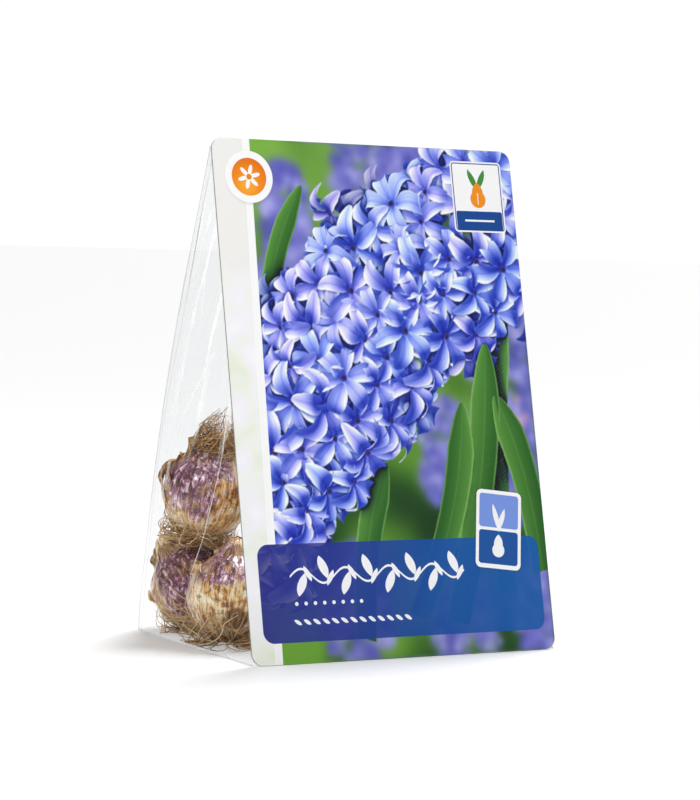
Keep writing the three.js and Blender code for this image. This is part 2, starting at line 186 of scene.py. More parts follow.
def set_lights():
    world = bpy.data.worlds.new("white_studio")
    world.use_nodes = True
    background = world.node_tree.nodes["Background"]
    background.inputs["Color"].default_value = (1, 1, 1, 1)
    brightness = world.node_tree.nodes.new("ShaderNodeMapRange")
    brightness.inputs["To Min"].default_value = ROOM_BRIGHTNESS
    brightness.inputs["To Max"].default_value = BACKDROP_BRIGHTNESS
    path = world.node_tree.nodes.new("ShaderNodeLightPath")
    world.node_tree.links.new(path.outputs["Is Camera Ray"], brightness.inputs["Value"])
    world.node_tree.links.new(brightness.outputs["Result"], background.inputs["Strength"])
    bpy.context.scene.world = world
    overhead = bpy.data.lights.new("overhead_light", "SUN")
    overhead.energy = OVERHEAD_STRENGTH
    overhead.angle = OVERHEAD_SPREAD
    sky = bpy.data.objects.new("overhead_light", overhead)
    sky.rotation_euler = Vector(OVERHEAD_FROM).to_track_quat("Z", "Y").to_euler()
    bpy.context.collection.objects.link(sky)
    bpy.context.scene.view_settings.view_transform = "Standard"
    for name, (place, width, height, power) in SOFT_LIGHTS.items():
        lamp = bpy.data.lights.new(name, "AREA")
        lamp.shape = "RECTANGLE"
        lamp.size = width
        lamp.size_y = height
        lamp.energy = power
        light = bpy.data.objects.new(name, lamp)
        light.location = place
        light.rotation_euler = (Vector(LIGHTS_AIM_AT) - light.location).to_track_quat("-Z", "Y").to_euler()
        bpy.context.collection.objects.link(light)


# ---------------------------------------------------------------- shader maths

class Value:
    """A socket in a sum: each operator adds the node that works it out."""

    def __init__(self, finish, socket):
        self.finish = finish
        self.socket = socket

    def math(self, operation, *others):
        return self.finish.math(operation, self, *others)

    def __add__(self, other):
        return self.math("ADD", other)

    def __radd__(self, other):
        return self.finish.math("ADD", other, self)

    def __sub__(self, other):
        return self.math("SUBTRACT", other)

    def __rsub__(self, other):
        return self.finish.math("SUBTRACT", other, self)

    def __mul__(self, other):
        return self.math("MULTIPLY", other)

    def __rmul__(self, other):
        return self.finish.math("MULTIPLY", other, self)

    def __truediv__(self, other):
        return self.math("DIVIDE", other)

    def __pow__(self, other):
        return self.math("POWER", other)

    def __abs__(self):
        return self.math("ABSOLUTE")

    def at_least(self, other):
        return self.math("MAXIMUM", other)

    def at_most(self, other):
        return self.math("MINIMUM", other)

    def sine(self):
        return self.math("SINE")

    def rest(self):
        """What is left above the whole number below."""
        return self.math("FRACT")

    def step(self, low, high):
        """Rises softly from 0 at low to 1 at high."""
        return self.finish.node(
            "ShaderNodeMapRange",
            {"interpolation_type": "SMOOTHSTEP"},
            {"Value": self, "From Min": low, "From Max": high},
        )


class Finish:
    """A material, with one method for every kind of node in it."""

    def __init__(self, name):
        self.material = bpy.data.materials.new(name)
        self.material.use_nodes = True
        self.tree = self.material.node_tree
        self.tree.nodes.clear()

    def node(self, kind, settings=None, inputs=None, output=0):
        made = self.tree.nodes.new(kind)
        for name, setting in (settings or {}).items():
            if name == "stops":
                self.set_stops(made.color_ramp, setting)
            else:
                setattr(made, name, setting)
        for key, value in (inputs or {}).items():
            self.set_input(made.inputs[key], value)
        return Value(self, made.outputs[output]) if made.outputs else None

    def set_input(self, socket, value):
        if isinstance(value, Value):
            self.tree.links.new(value.socket, socket)
        elif socket.type == "RGBA":
            socket.default_value = (*value[:3], 1)
        else:
            socket.default_value = value

    def set_stops(self, ramp, stops):
        while len(ramp.elements) < len(stops):
            ramp.elements.new(1)
        for element, (place, colour) in zip(ramp.elements, stops):
            element.position = place
            element.color = (*colour, 1)

    def math(self, operation, *values):
        return self.node("ShaderNodeMath", {"operation": operation}, dict(enumerate(values)))

    def vector(self, operation, *values):
        return self.node("ShaderNodeVectorMath", {"operation": operation}, dict(enumerate(values)))

    def join(self, x, y, z):
        return self.node("ShaderNodeCombineXYZ", None, {0: x, 1: y, 2: z})

    def split(self, vector):
        made = self.node("ShaderNodeSeparateXYZ", None, {0: vector})
        return [Value(self, socket) for socket in made.socket.node.outputs]

    def blend(self, under, over, share, how="MIX"):
        """The colour over laid on the colour under, by a share."""
        return self.node(
            "ShaderNodeMix",
            {"data_type": "RGBA", "blend_type": how},
            {0: share, 6: under, 7: over},
            2,
        )

    def ramp(self, value, *stops):
        return self.node("ShaderNodeValToRGB", {"stops": stops}, {0: value})

    def place(self):
        """Where a point lies in the pack, in millimetres."""
        found = self.node("ShaderNodeTexCoord", None, None, "Object")
        return self.node("ShaderNodeVectorMath", {"operation": "SCALE"}, {0: found, "Scale": 1 / MM})

    def carried(self, name, output="Vector"):
        """What the mesh carries under a name."""
        return self.node("ShaderNodeAttribute", {"attribute_name": name}, None, output)

    def noise(self, vector, size, detail=3, roughness=0.5, stretch=0):
        inputs = {
            "Vector": vector, "Scale": 1 / size, "Detail": detail,
            "Roughness": roughness, "Distortion": stretch,
        }
        return self.node("ShaderNodeTexNoise", None, inputs)

    def bump(self, height, distance):
        return self.node("ShaderNodeBump", None, {"Height": height, "Distance": distance * MM, "Strength": 1})

    def surface(self, **inputs):
        names = {name.replace("_", " "): value for name, value in inputs.items()}
        return self.node("ShaderNodeBsdfPrincipled", None, names)

    def done(self, shader):
        self.node("ShaderNodeOutputMaterial", None, {"Surface": shader})
        return self.material


# ---------------------------------------------------------------- meshes

def grid_faces(rows, columns, closed=False):
    """The faces of a grid of points; a closed one joins its last column to its first."""
    row, column = np.meshgrid(np.arange(rows - 1), np.arange(columns - (not closed)), indexing="ij")
    beside = (column + 1) % columns
    here, next_row = row * columns, (row + 1) * columns
    corners = [here + column, here + beside, next_row + beside, next_row + column]
    return np.stack(corners, axis=-1).reshape(-1, 4)


class Shape:
    """Points, their faces and what each point carries, gathered from several parts into one mesh."""

    def __init__(self):
        self.points = []
        self.faces = []
        self.finishes = []
        self.carried = {}
        self.count = 0

    def add(self, points, faces, finish=0, **carried):
        points = np.asarray(points, float).reshape(-1, 3)
        self.points.append(points)
        self.faces.extend((np.asarray(faces) + self.count).tolist())
        self.finishes.extend([finish] * len(faces))
        for name, values in carried.items():
            spread = np.broadcast_to(np.asarray(values, float), (len(points), 3))
            self.carried.setdefault(name, []).append(spread)
        self.count += len(points)

    def build(self, name, finishes, rounded=True, weld=0):
        mesh = bpy.data.meshes.new(name)
        points = np.concatenate(self.points) + (0, FRONT_FOOT, 0)
        mesh.from_pydata((points * MM).tolist(), [], self.faces)
        for finish in finishes:
            mesh.materials.append(finish)
        mesh.polygons.foreach_set("material_index", self.finishes)
        mesh.polygons.foreach_set("use_smooth", [rounded] * len(self.faces))
        for key, parts in self.carried.items():
            layer = mesh.attributes.new(key, "FLOAT_VECTOR", "POINT")
            layer.data.foreach_set("vector", np.concatenate(parts).astype(np.float32).ravel())
        mesh.update()
        made = bpy.data.objects.new(name, mesh)
        bpy.context.collection.objects.link(made)
        if weld:
            joined = made.modifiers.new("weld", "WELD")
            joined.merge_threshold = weld * MM
        return made


def settle(piece, node):
    """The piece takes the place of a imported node, in the pack's one body."""
    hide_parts(node)
    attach(piece, "root")


# ---------------------------------------------------------------- the printed picture

DOT = 0.2  # millimetres: how finely the picture is painted
GROUND = -100.0  # millimetres: how far back the garden lies
PICTURE_LIGHT = unit((-0.45, 0.55, 0.7))

# The garden: its dots in a cell, its cloudiness, and its colours from 0 to 255
GARDEN_CELL = 5
CLOUD_SIZE = 11
CLOUD_CONTRAST = 0.3
SHADE_GREEN, GRASS_GREEN, UPPER_GREEN = (24, 62, 24), (108, 164, 54), (132, 184, 78)
UPPER_FROM, UPPER_FULL, UPPER_SHARE = 190, 250, 0.6
# Soft clumps of flowers: across, up and reach of each, in millimetres
CLUMPS = (
    (34, 176, 27), (160, 150, 30), (28, 92, 22), (84, 240, 24), (165, 96, 24), (60, 22, 26), (122, 12, 26),
    (165, 22, 20), (158, 196, 22), (38, 222, 18), (38, 138, 18), (120, 100, 22), (112, 250, 16),
)
CLUMP_DEEP, CLUMP_PALE = (74, 74, 176), (184, 184, 244)
CLUMP_DABS, CLUMP_WIDTH, CLUMP_HEIGHT, CLUMP_STRENGTH = 7, 0.75, 1.35, 0.75
DAB_SIZES = (2.2, 4.6)
LILAC = (214, 172, 204)
LILAC_PLACES = ((32, 134), (44, 118), (160, 118), (136, 232), (24, 108))
LILAC_DABS, LILAC_SPREAD, LILAC_SIZE, LILAC_STRENGTH = 16, 4.5, math.sqrt(7), 0.6

# Strap leaves: foot, tip, bow, width, how far in front they lie, and the side that the light comes from
LEAVES = (
    ((96, 20), (128, 128), 9, 17, 16, -1),
    ((118, 16), (146, 158), 7, 19, 12, 1),
    ((150, 30), (166, 182), -8, 16, -56, -1),
    ((172, 40), (150, 130), 6, 18, 14, 1),
    ((34, 30), (22, 122), -5, 14, -62, -1),
    ((64, 10), (86, 96), -6, 16, -57, 1),
    ((20, 140), (52, 236), -9, 12, -64, 1),
)
LEAF_DEEP, LEAF_PALE, LEAF_RIM = (14, 66, 20), (108, 168, 72), (176, 214, 132)

# Florets: each hue runs from blue to lilac
PETAL_LENGTH = 20
PETAL_GAIN = 1.3
PETAL_BLACK = 22
PETAL_DEEP = ((48, 74, 188), (76, 66, 178))
PETAL_PALE = ((222, 234, 255), (238, 228, 255))
PETAL_SHADE, PETAL_GLOW = (0.34, 0.42, 0.72), (1.2, 1.18, 1.08)
THROAT_DARK, THROAT_PALE = (34, 30, 84), (76, 72, 146)
FLORETS, FLORET_TRIES, FLORET_SPACING = 66, 6000, 15
# Layers of florets from back to front: depth, light and growth
FLORET_LAYERS = ((-40, 0.78, 0.9), (-18, 0.88, 0.95), (0, 1.0, 0.98))

# Soft shade round what lies in front: reach in millimetres, strength and most
SHADES = ((1.1, 0.085, 0.55), (4.5, 0.028, 0.58))
SHADE_TINT = (1.25, 1.08, 0.62)
SHADED_GROUND = -70


class Picture:
    """A painted picture of the card's size: the colour of each dot, and how far in front it lies."""

    def __init__(self):
        self.rows = round(CARD_LENGTH / DOT)
        self.columns = round(CARD_WIDTH / DOT)
        self.colour = np.zeros((self.rows, self.columns, 3))
        self.height = np.full((self.rows, self.columns), GROUND)

    def lay(self, place, colour):
        """Lays points on the picture; the one that lies furthest in front shows."""
        place = place.reshape(-1, 3)
        colour = colour.reshape(-1, 3)
        order = np.argsort(place[:, 2])
        place, colour = place[order], colour[order]
        column = np.floor(place[:, 0] / DOT).astype(int)
        row = np.floor(place[:, 1] / DOT).astype(int)
        inside = (column >= 0) & (column < self.columns) & (row >= 0) & (row < self.rows)
        row, column, height, colour = row[inside], column[inside], place[inside, 2], colour[inside]
        seen = height > self.height[row, column]
        self.height[row[seen], column[seen]] = height[seen]
        self.colour[row[seen], column[seen]] = colour[seen]

    def sample(self, u, v):
        column = np.clip((u / DOT).astype(int), 0, self.columns - 1)
        row = np.clip((v / DOT).astype(int), 0, self.rows - 1)
        return self.colour[row, column]


def softened(layer, radius):
    """A layer of dots, blurred by a radius in dots."""
    down = np.fft.fftfreq(layer.shape[0])[:, None]
    across = np.fft.fftfreq(layer.shape[1])[None, :]
    keep = np.exp(-2 * (np.pi * radius) ** 2 * (down ** 2 + across ** 2))
    if layer.ndim == 2:
        return np.real(np.fft.ifft2(np.fft.fft2(layer) * keep))
    return np.stack([softened(layer[..., i], radius) for i in range(layer.shape[-1])], axis=-1)


def shaded(points):
    """How strongly the picture's own light falls on a grid of points."""
    along = np.gradient(points, axis=0)
    across = np.gradient(points, axis=1)
    normal = unit(np.cross(across, along) + 1e-9)
    normal = np.where(normal[..., 2:] < 0, -normal, normal)
    return np.clip(normal @ PICTURE_LIGHT, 0, 1)[..., None]


def paint_ground(picture, draw):
    """A garden out of focus: green, with soft clumps of blue and lilac."""
    rows, columns = picture.rows // GARDEN_CELL, picture.columns // GARDEN_CELL
    cell = DOT * GARDEN_CELL
    v, u = np.meshgrid(np.arange(rows) * cell, np.arange(columns) * cell, indexing="ij")

    def dabbed(ground, middle, size, colour, strength):
        share = strength * np.exp(-((u - middle[0]) ** 2 + (v - middle[1]) ** 2) / size ** 2)
        return mix(ground, colour, share[..., None])

    cloud = softened(draw.normal(size=(rows, columns)), CLOUD_SIZE)
    cloud = ease(0.5 + cloud / cloud.std() * CLOUD_CONTRAST)[..., None]
    upper = ease((v - UPPER_FROM) / (UPPER_FULL - UPPER_FROM))[..., None]
    ground = mix(tint(SHADE_GREEN, GRASS_GREEN, cloud), np.array(UPPER_GREEN), upper * UPPER_SHARE)
    for middle_u, middle_v, reach in CLUMPS:
        for _ in range(round(CLUMP_DABS * reach)):
            angle = draw.uniform(0, 2 * np.pi)
            far = reach * np.sqrt(draw.uniform())
            dab_u = middle_u + CLUMP_WIDTH * far * np.cos(angle)
            dab_v = middle_v + CLUMP_HEIGHT * far * np.sin(angle)
            size = draw.uniform(*DAB_SIZES)
            colour = tint(CLUMP_DEEP, CLUMP_PALE, draw.uniform() ** 1.3)
            ground = dabbed(ground, (dab_u, dab_v), size, colour, CLUMP_STRENGTH)
    for middle in LILAC_PLACES:
        for _ in range(LILAC_DABS):
            dab = np.array(middle) + draw.normal(scale=LILAC_SPREAD, size=2)
            ground = dabbed(ground, dab, LILAC_SIZE, np.array(LILAC), LILAC_STRENGTH)
    fine = np.repeat(np.repeat(ground, GARDEN_CELL, axis=0), GARDEN_CELL, axis=1)
    picture.colour[:] = softened(fine, GARDEN_CELL * 0.9)


def paint_leaf(picture, foot, tip, bow, width, height, light):
    """A strap leaf with fine veins along it and a blunt tip."""
    along = np.linspace(0, 1, 700)[:, None]
    across = np.linspace(-1, 1, 150)[None, :]
    foot, tip = np.array(foot, float), np.array(tip, float)
    way = unit(tip - foot)
    aside = np.array([way[1], -way[0]])
    length = np.linalg.norm(tip - foot)
    sway = bow * np.sin(np.pi * along * 0.85)
    blunt = np.minimum(1, (1 - along) / 0.22 + 0.02) ** 0.55
    off = sway + across * width / 2 * blunt * (0.75 + 0.25 * along)
    u, v = (foot[i] + way[i] * along * length + aside[i] * off for i in (0, 1))
    rise = height + 2.2 * across ** 2 - 4 * along ** 2
    veins = 0.5 + 0.5 * np.sin(across * 42 + 3 * np.sin(along * 2))
    rim = np.maximum(bell(np.abs(across), 0.97, 0.07), 0.35 * bell(across, -0.02, 0.06))
    tone = np.clip(0.34 + 0.26 * light * -across + 0.08 * veins + 0.22 * along, 0, 1)
    colour = tint(LEAF_DEEP, LEAF_PALE, tone[..., None])
    colour = mix(colour, np.array(LEAF_RIM), 0.5 * rim[..., None])
    picture.lay(noted(u, v, rise), colour)


def paint_petal(picture, spin, turn, middle, size, hue, lit, sway):
    """One petal of a floret: narrow at the throat, blunt at the tip, curling back."""
    along = np.linspace(0, 1, 170)[:, None]
    across = np.linspace(-1, 1, 88)[None, :]
    oval = np.sqrt(np.clip(1 - ((along - 0.55) / 0.455) ** 2, 0, 1))
    half = 0.245 * np.maximum(oval, 0.42 * (along < 0.55)) * (1 + 0.08 * sway)
    reach = np.sin(1.45 * along) * 0.95
    x = half * across + 0.05 * sway * along ** 2
    curl = 0.32 * np.sin(2.6 * along) - 0.55 * along ** 3 + 0.12 * sway * along ** 2
    z = curl + 0.13 * across ** 2 * np.sin(np.pi * along)
    z = z + 0.03 * np.cos(9 * along + 4 * sway) * across * along
    c, s = np.cos(turn), np.sin(turn)
    local = noted(x, reach, z) * size @ np.array([[c, s, 0], [-s, c, 0], [0, 0, 1]])
    place = local @ spin + middle
    light = shaded(place)
    margin = np.abs(across) ** 2.5
    rib = bell(across, 0, 0.16) * (0.25 + 0.75 * along) * (1 - along ** 6)
    streaks = 0.5 + 0.5 * np.sin(19 * across + 2.5 * sway)
    tone = 0.46 + 0.34 * margin - 0.26 * rib + 0.05 * streaks + 0.10 * along - 0.35 * bell(along, 0, 0.2)
    colour = mix(tint(*PETAL_DEEP, hue), tint(*PETAL_PALE, hue), np.clip(tone, 0, 1)[..., None])
    colour = colour * tint(PETAL_SHADE, PETAL_GLOW, light ** 0.9)
    picture.lay(place, np.clip(colour * lit * PETAL_GAIN - PETAL_BLACK, 0, 255))


def paint_floret(picture, draw, middle, size, facing, hue, lit):
    """Six petals in two whorls round a dark throat."""
    tilt = Vector((0, 0, 1)).rotation_difference(Vector(facing)).to_matrix()
    spin = np.array(tilt).T
    start = draw.uniform(0, np.pi / 3)
    for petal in range(6):
        inner = petal % 2
        turn = start + petal * np.pi / 3 + draw.normal(scale=0.05)
        base = np.array(middle) + spin[2] * (0.6 * inner)
        own_size = size * (1 - 0.06 * inner) * draw.uniform(0.94, 1.06)
        paint_petal(picture, spin, turn, base, own_size, hue, lit, draw.normal(scale=0.6))
    around = np.linspace(0, 2 * np.pi, 60)[:, None]
    far = np.linspace(0, 1, 20)[None, :]
    radius = 0.085 * size * far
    sunk = 0.16 * size - 0.5 * far
    throat = noted(np.cos(around) * radius, np.sin(around) * radius, sunk)
    dark = tint(THROAT_DARK, THROAT_PALE, far[..., None] ** 2)
    picture.lay(throat @ spin + middle, np.broadcast_to(dark, throat.shape))


def drift_place(along):
    """The line that the strewn florets follow over the card."""
    return np.array([18 + 142 * along, 84 + 150 * along + 14 * np.sin(4.2 * along)])


def paint_florets(picture, draw):
    """A garland of strewn florets across the card, past its left edge and its top."""
    places = []
    tries = 0
    while len(places) < FLORETS and tries < FLORET_TRIES:
        tries += 1
        along = draw.uniform(-0.1, 1.12)
        aside = draw.uniform(-1, 1)
        spread = 36 + 5 * np.sin(np.pi * along)
        u, v = drift_place(along) + aside * spread * unit((1, -0.9))
        v += draw.uniform(-8, 8)
        if all((u - other[0]) ** 2 + (v - other[1]) ** 2 > FLORET_SPACING ** 2 for other in places):
            places.append((u, v, aside))
    for depth, lit, grow in FLORET_LAYERS:
        for u, v, aside in places:
            shift = draw.normal(scale=6, size=2) if depth else np.zeros(2)
            round_off = -16 * aside ** 2
            facing = (0.95 * aside + draw.normal(scale=0.35), draw.normal(scale=0.38) - 0.1, 1)
            size = PETAL_LENGTH * grow * draw.uniform(0.78, 1.08)
            middle = (u + shift[0], v + shift[1], depth + round_off + draw.uniform(-2, 4))
            paint_floret(picture, draw, middle, size, unit(facing), draw.uniform(0.05, 0.75), lit)


def painted_picture():
    draw = np.random.default_rng(11)
    picture = Picture()
    paint_ground(picture, draw)
    for leaf in LEAVES:
        paint_leaf(picture, *leaf)
    paint_florets(picture, draw)
    front = picture.height > GROUND + 1
    height = np.where(front, picture.height, SHADED_GROUND)
    for radius, strength, most in SHADES:
        sunk = softened(height, radius / DOT) - height
        shade = np.clip(sunk * strength, 0, most) * front
        picture.colour *= 1 - shade[..., None] * np.array(SHADE_TINT)
    picture.colour = softened(picture.colour, 0.8)
    return picture


# ---------------------------------------------------------------- the card

PICTURE_STEP = 0.42
LINE_SOFTNESS = 0.12
WHITE = ink(253, 253, 253)
BRIGHT = ink(250, 250, 252)
# The pale strip and the picture begin at u, at the foot and at the top
STRIP_EDGE = (12.2, 17.2)
PICTURE_EDGE = (16.5, 21.2)
STRIP_GREY = ink(242, 241, 238)
STRIP_MOTTLE = (
    (0.34, ink(232, 241, 219)), (0.45, ink(243, 246, 238)),
    (0.56, ink(247, 246, 252)), (0.68, ink(254, 254, 255)),
)
STRIP_GREY_FROM, STRIP_GREY_FULL = 185, 205
# Plates on the card: middle, half size and corner radius
BAND = ((88.5, 34.5), (81.5, 24), 6)
BAND_BLUES = (
    (0.05, ink(44, 46, 132)), (0.3, ink(32, 52, 140)), (0.62, ink(0, 78, 156)), (0.95, ink(0, 88, 164)),
)
BAND_GLIMPSE = 0.07
BADGE_MIDDLE = (19.5, 241)
BADGE_RADIUS = 9.6
BADGE_RING = 13.2
BADGE_SHADOW_MIDDLE = (20.2, 240.3)
BADGE_GLOW_MIDDLE, BADGE_GLOW_REACH = (18, 236.5), 16
BADGE_GLOW = ((0.0, ink(255, 178, 58)), (0.45, ink(246, 140, 20)), (1.0, ink(222, 104, 6)))
BLOOM_RADIUS, BLOOM_WAVE, BLOOM_PETALS, BLOOM_EYE = 4.1, 2.2, 6, 1.5
PANEL = ((153.2, 235.3), (15.6, 18.7), 2.2)
PANEL_FIELD = ((0, -12.6), (14, 5.0), 1.1)
TAG_MIDDLE = (147, 62)
TAG_TILT = math.radians(-7)
TAG = ((0, 0), (13.5, 20), 3)
TAG_SOIL = ((0, -9.2), (11.7, 8.6), 1.6)
TAG_SKY = ((0, 9.5), (11.7, 8.6), 1.6)

# The vine on the band: its left end, pitch, height, wave and stem, and the middle and half of its run
VINE_START, VINE_PITCH, VINE_HEIGHT, VINE_WAVE, VINE_STEM = 24, 12.5, 42.5, 3.6, 0.55
VINE_RUN = (74, 50)
# The rows of small shapes under it: pitch, heights, and the middle and half of each run
SMALL_PITCH = 5.2
DOT_HEIGHT, DOT_RADIUS, DOT_RUN = 29.2, 0.95, (44.8, 20.8)
GRAIN_HEIGHT, GRAIN_RUN = 20.2, (57.8, 33.8)


def plate(u, v, middle, half, radius):
    """How far a point lies outside a plate with round corners."""
    across = abs(u - middle[0]) - (half[0] - radius)
    up = abs(v - middle[1]) - (half[1] - radius)
    outside = (across.at_least(0) ** 2 + up.at_least(0) ** 2) ** 0.5
    return outside + across.at_least(up).at_most(0) - radius


def disc(u, v, middle, radius):
    return ((u - middle[0]) ** 2 + (v - middle[1]) ** 2) ** 0.5 - radius


def lens(across, along, half_width, half_length):
    """How far a point lies outside a pointed leaf shape."""
    radius = (half_length ** 2 + half_width ** 2) / (2 * half_width)
    shift = radius - half_width
    return ((abs(across) + shift) ** 2 + along ** 2) ** 0.5 - radius


def inside(distance, softness=LINE_SOFTNESS):
    return 1 - distance.step(-softness, softness)


def slanted(v, edge):
    """Where an edge lies at a height on the card."""
    foot, top = edge
    return foot + (top - foot) / CARD_LENGTH * v


def outside_run(u, run):
    middle, half = run
    return abs(u - middle) - half


def band_ornament(u, v):
    """A plain vine with leaves, and two rows of small shapes under it."""
    cell = (u - VINE_START) / VINE_PITCH
    beside = (cell.rest() - 0.5) * VINE_PITCH
    flip = ((cell * 0.5).rest() * 2).math("FLOOR") * 2 - 1
    wave = (cell * math.pi).sine() * VINE_WAVE
    stem = abs(v - VINE_HEIGHT - wave) - VINE_STEM
    rise = (v - VINE_HEIGHT) * flip
    leaf = lens(beside + (rise - 4.5) * 0.35, rise - 4.2, 2.5, 5.6)
    twin = lens(beside - 3.6 - (rise + 1.5) * 0.5, rise + 1.2, 1.5, 3.8)
    vine = stem.at_most(leaf).at_most(twin)
    small = (((u - VINE_START) / SMALL_PITCH).rest() - 0.5) * SMALL_PITCH
    dots = (small ** 2 + (v - DOT_HEIGHT) ** 2) ** 0.5 - DOT_RADIUS
    grains = lens((v - GRAIN_HEIGHT) + small * 0.5, small, 1.05, 2.1)
    vine = vine.at_least(outside_run(u, VINE_RUN))
    dots = dots.at_least(outside_run(u, DOT_RUN))
    grains = grains.at_least(outside_run(u, GRAIN_RUN))
    return vine.at_most(dots).at_most(grains)


# Each part of the print is a list of layers, the lowest first: a colour, and the share in which it shows

def strip_layers(finish, u, v, spot):
    """The pale strip on the left, with a white line between it and the picture."""
    mottle = finish.noise(spot, 26, 2)
    grey = (v + (mottle - 0.5) * 60).step(STRIP_GREY_FROM, STRIP_GREY_FULL)
    strip = finish.blend(finish.ramp(mottle, *STRIP_MOTTLE), STRIP_GREY, grey)
    return [(WHITE, inside(u - slanted(v, PICTURE_EDGE))), (strip, inside(u - slanted(v, STRIP_EDGE)))]


def band_layers(finish, u, v, picture):
    """The band, indigo on the left and blue on the right, with the picture faintly through it."""
    blues = finish.ramp(u / CARD_WIDTH, *BAND_BLUES)
    glimpse = finish.blend(blues, picture, BAND_GLIMPSE, "SCREEN")
    return [(glimpse, inside(plate(u, v, *BAND))), (ink(250, 251, 254), inside(band_ornament(u, v)))]


def badge_layers(finish, u, v):
    """The round badge with a six-petal flower."""
    shadow = 1 - disc(u, v, BADGE_SHADOW_MIDDLE, BADGE_RING).step(-1.5, 1.6)
    far = disc(u, v, BADGE_MIDDLE, 0)
    glow = (disc(u, v, BADGE_GLOW_MIDDLE, 0) / BADGE_GLOW_REACH).at_most(1)
    around = finish.math("ARCTAN2", v - BADGE_MIDDLE[1], u - BADGE_MIDDLE[0])
    bloom = far - (BLOOM_RADIUS + BLOOM_WAVE * (around * BLOOM_PETALS).sine())
    return [
        (ink(96, 104, 120), shadow * 0.35),
        (WHITE, inside(far - BADGE_RING)),
        (finish.ramp(glow, *BADGE_GLOW), inside(far - BADGE_RADIUS)),
        (ink(252, 252, 250), inside(bloom)),
        (ink(238, 130, 20), inside(far - BLOOM_EYE)),
    ]


def panel_layers(u, v):
    """The small panel: a bulb with two leaves over a blue field with a rule."""
    panel = plate(u, v, *PANEL)
    u, v = u - PANEL[0][0], v - PANEL[0][1]
    rule = (abs(v - PANEL_FIELD[0][1]) - 0.5).at_least(abs(u) - 9)
    body = disc(u, v, (0, -1.2), 4.6).at_most(lens(u, v - 1.5, 3.4, 6.2))
    tilt = (v - 9) * 0.42
    leaves = lens(u + 2.6 + tilt, v - 9, 1.8, 5.6).at_most(lens(u - 2.6 - tilt, v - 9, 1.8, 5.6))
    return [
        (ink(252, 252, 253), inside(panel)),
        (ink(26, 66, 132), inside(abs(panel + 1.1) - 0.28)),
        (ink(18, 72, 146), inside(plate(u, v, *PANEL_FIELD))),
        (BRIGHT, inside(rule)),
        (ink(70, 140, 62), inside(leaves)),
        (ink(243, 146, 32), inside(body)),
        (ink(252, 252, 253), inside((abs(u) - 0.22).at_least(abs(v + 1) - 3))),
    ]


def tag_layers(u, v):
    """The plain tag, with a planting mark."""
    off_u, off_v = u - TAG_MIDDLE[0], v - TAG_MIDDLE[1]
    u = off_u * math.cos(TAG_TILT) + off_v * math.sin(TAG_TILT)
    v = off_v * math.cos(TAG_TILT) - off_u * math.sin(TAG_TILT)
    tag = plate(u, v, *TAG)
    seed = disc(u, v, (0, -10.5), 3.6).at_most(lens(u, v + 7.5, 2.6, 5))
    left = lens(u + (v - 6) * 0.3 + 1.6, v - 6, 1.5, 7)
    right = lens(u - (v - 5) * 0.3 - 1.6, v - 5, 1.5, 6)
    return [
        (ink(20, 30, 60), (1 - (tag - 0.3).step(-1.2, 1.4)) * 0.4),
        (WHITE, inside(tag)),
        (ink(28, 84, 158), inside(plate(u, v, *TAG_SOIL))),
        (ink(120, 150, 226), inside(plate(u, v, *TAG_SKY))),
        (BRIGHT, inside(seed.at_most(left).at_most(right))),
    ]


def print_finish():
    """Ink on coated board: the layers, a fine dot grain and a soft, slightly uneven gloss."""
    finish = Finish("printed_board")
    x, y, z = finish.split(finish.place())
    u = x + HALF_CARD
    v = (y - FRONT_FOOT) * math.sin(LEAN) + z * math.cos(LEAN)
    spot = finish.join(u, v, 0)
    picture = finish.carried("picture", "Color")
    layers = [*strip_layers(finish, u, v, spot), *band_layers(finish, u, v, picture)]
    layers += [*badge_layers(finish, u, v), *panel_layers(u, v), *tag_layers(u, v)]
    colour = picture
    for tone, share in layers:
        colour = finish.blend(colour, tone, share)
    grain = finish.noise(spot, 0.35, 2)
    colour = finish.blend(colour, finish.blend(colour, ink(255, 255, 255), 0.02, "SCREEN"), grain)
    sheet = finish.noise(spot, 40, 3)
    shader = finish.surface(
        Base_Color=colour,
        Roughness=0.3 + 0.12 * sheet,
        Specular_IOR_Level=0.16,
        Normal=finish.bump(finish.noise(spot, 1.1, 3), 0.004),
    )
    return finish.done(shader)


def board_finish(name, dark, pale):
    """Bare board on the back of the card; at its cut edge the same finish takes darker tones, which are
    painted shade.
    """
    finish = Finish(name)
    spot = finish.place()
    fibres = finish.noise(spot, 0.7, 4, 0.6)
    clouds = finish.noise(spot, 18, 3)
    colour = finish.ramp(fibres * 0.6 + clouds * 0.4, (0.3, dark), (0.7, pale))
    shader = finish.surface(
        Base_Color=colour,
        Roughness=0.62 + 0.1 * fibres,
        Specular_IOR_Level=0.3,
        Normal=finish.bump(fibres, 0.02),
    )
    return finish.done(shader)


def on_card(across, up, out):
    """A point by its place on the card's front face and its distance in front of it."""
    foot = CARD_THICKNESS * math.sin(LEAN)
    y = up * math.sin(LEAN) - out * math.cos(LEAN)
    return noted(across, y, foot + up * math.cos(LEAN) + out * math.sin(LEAN))


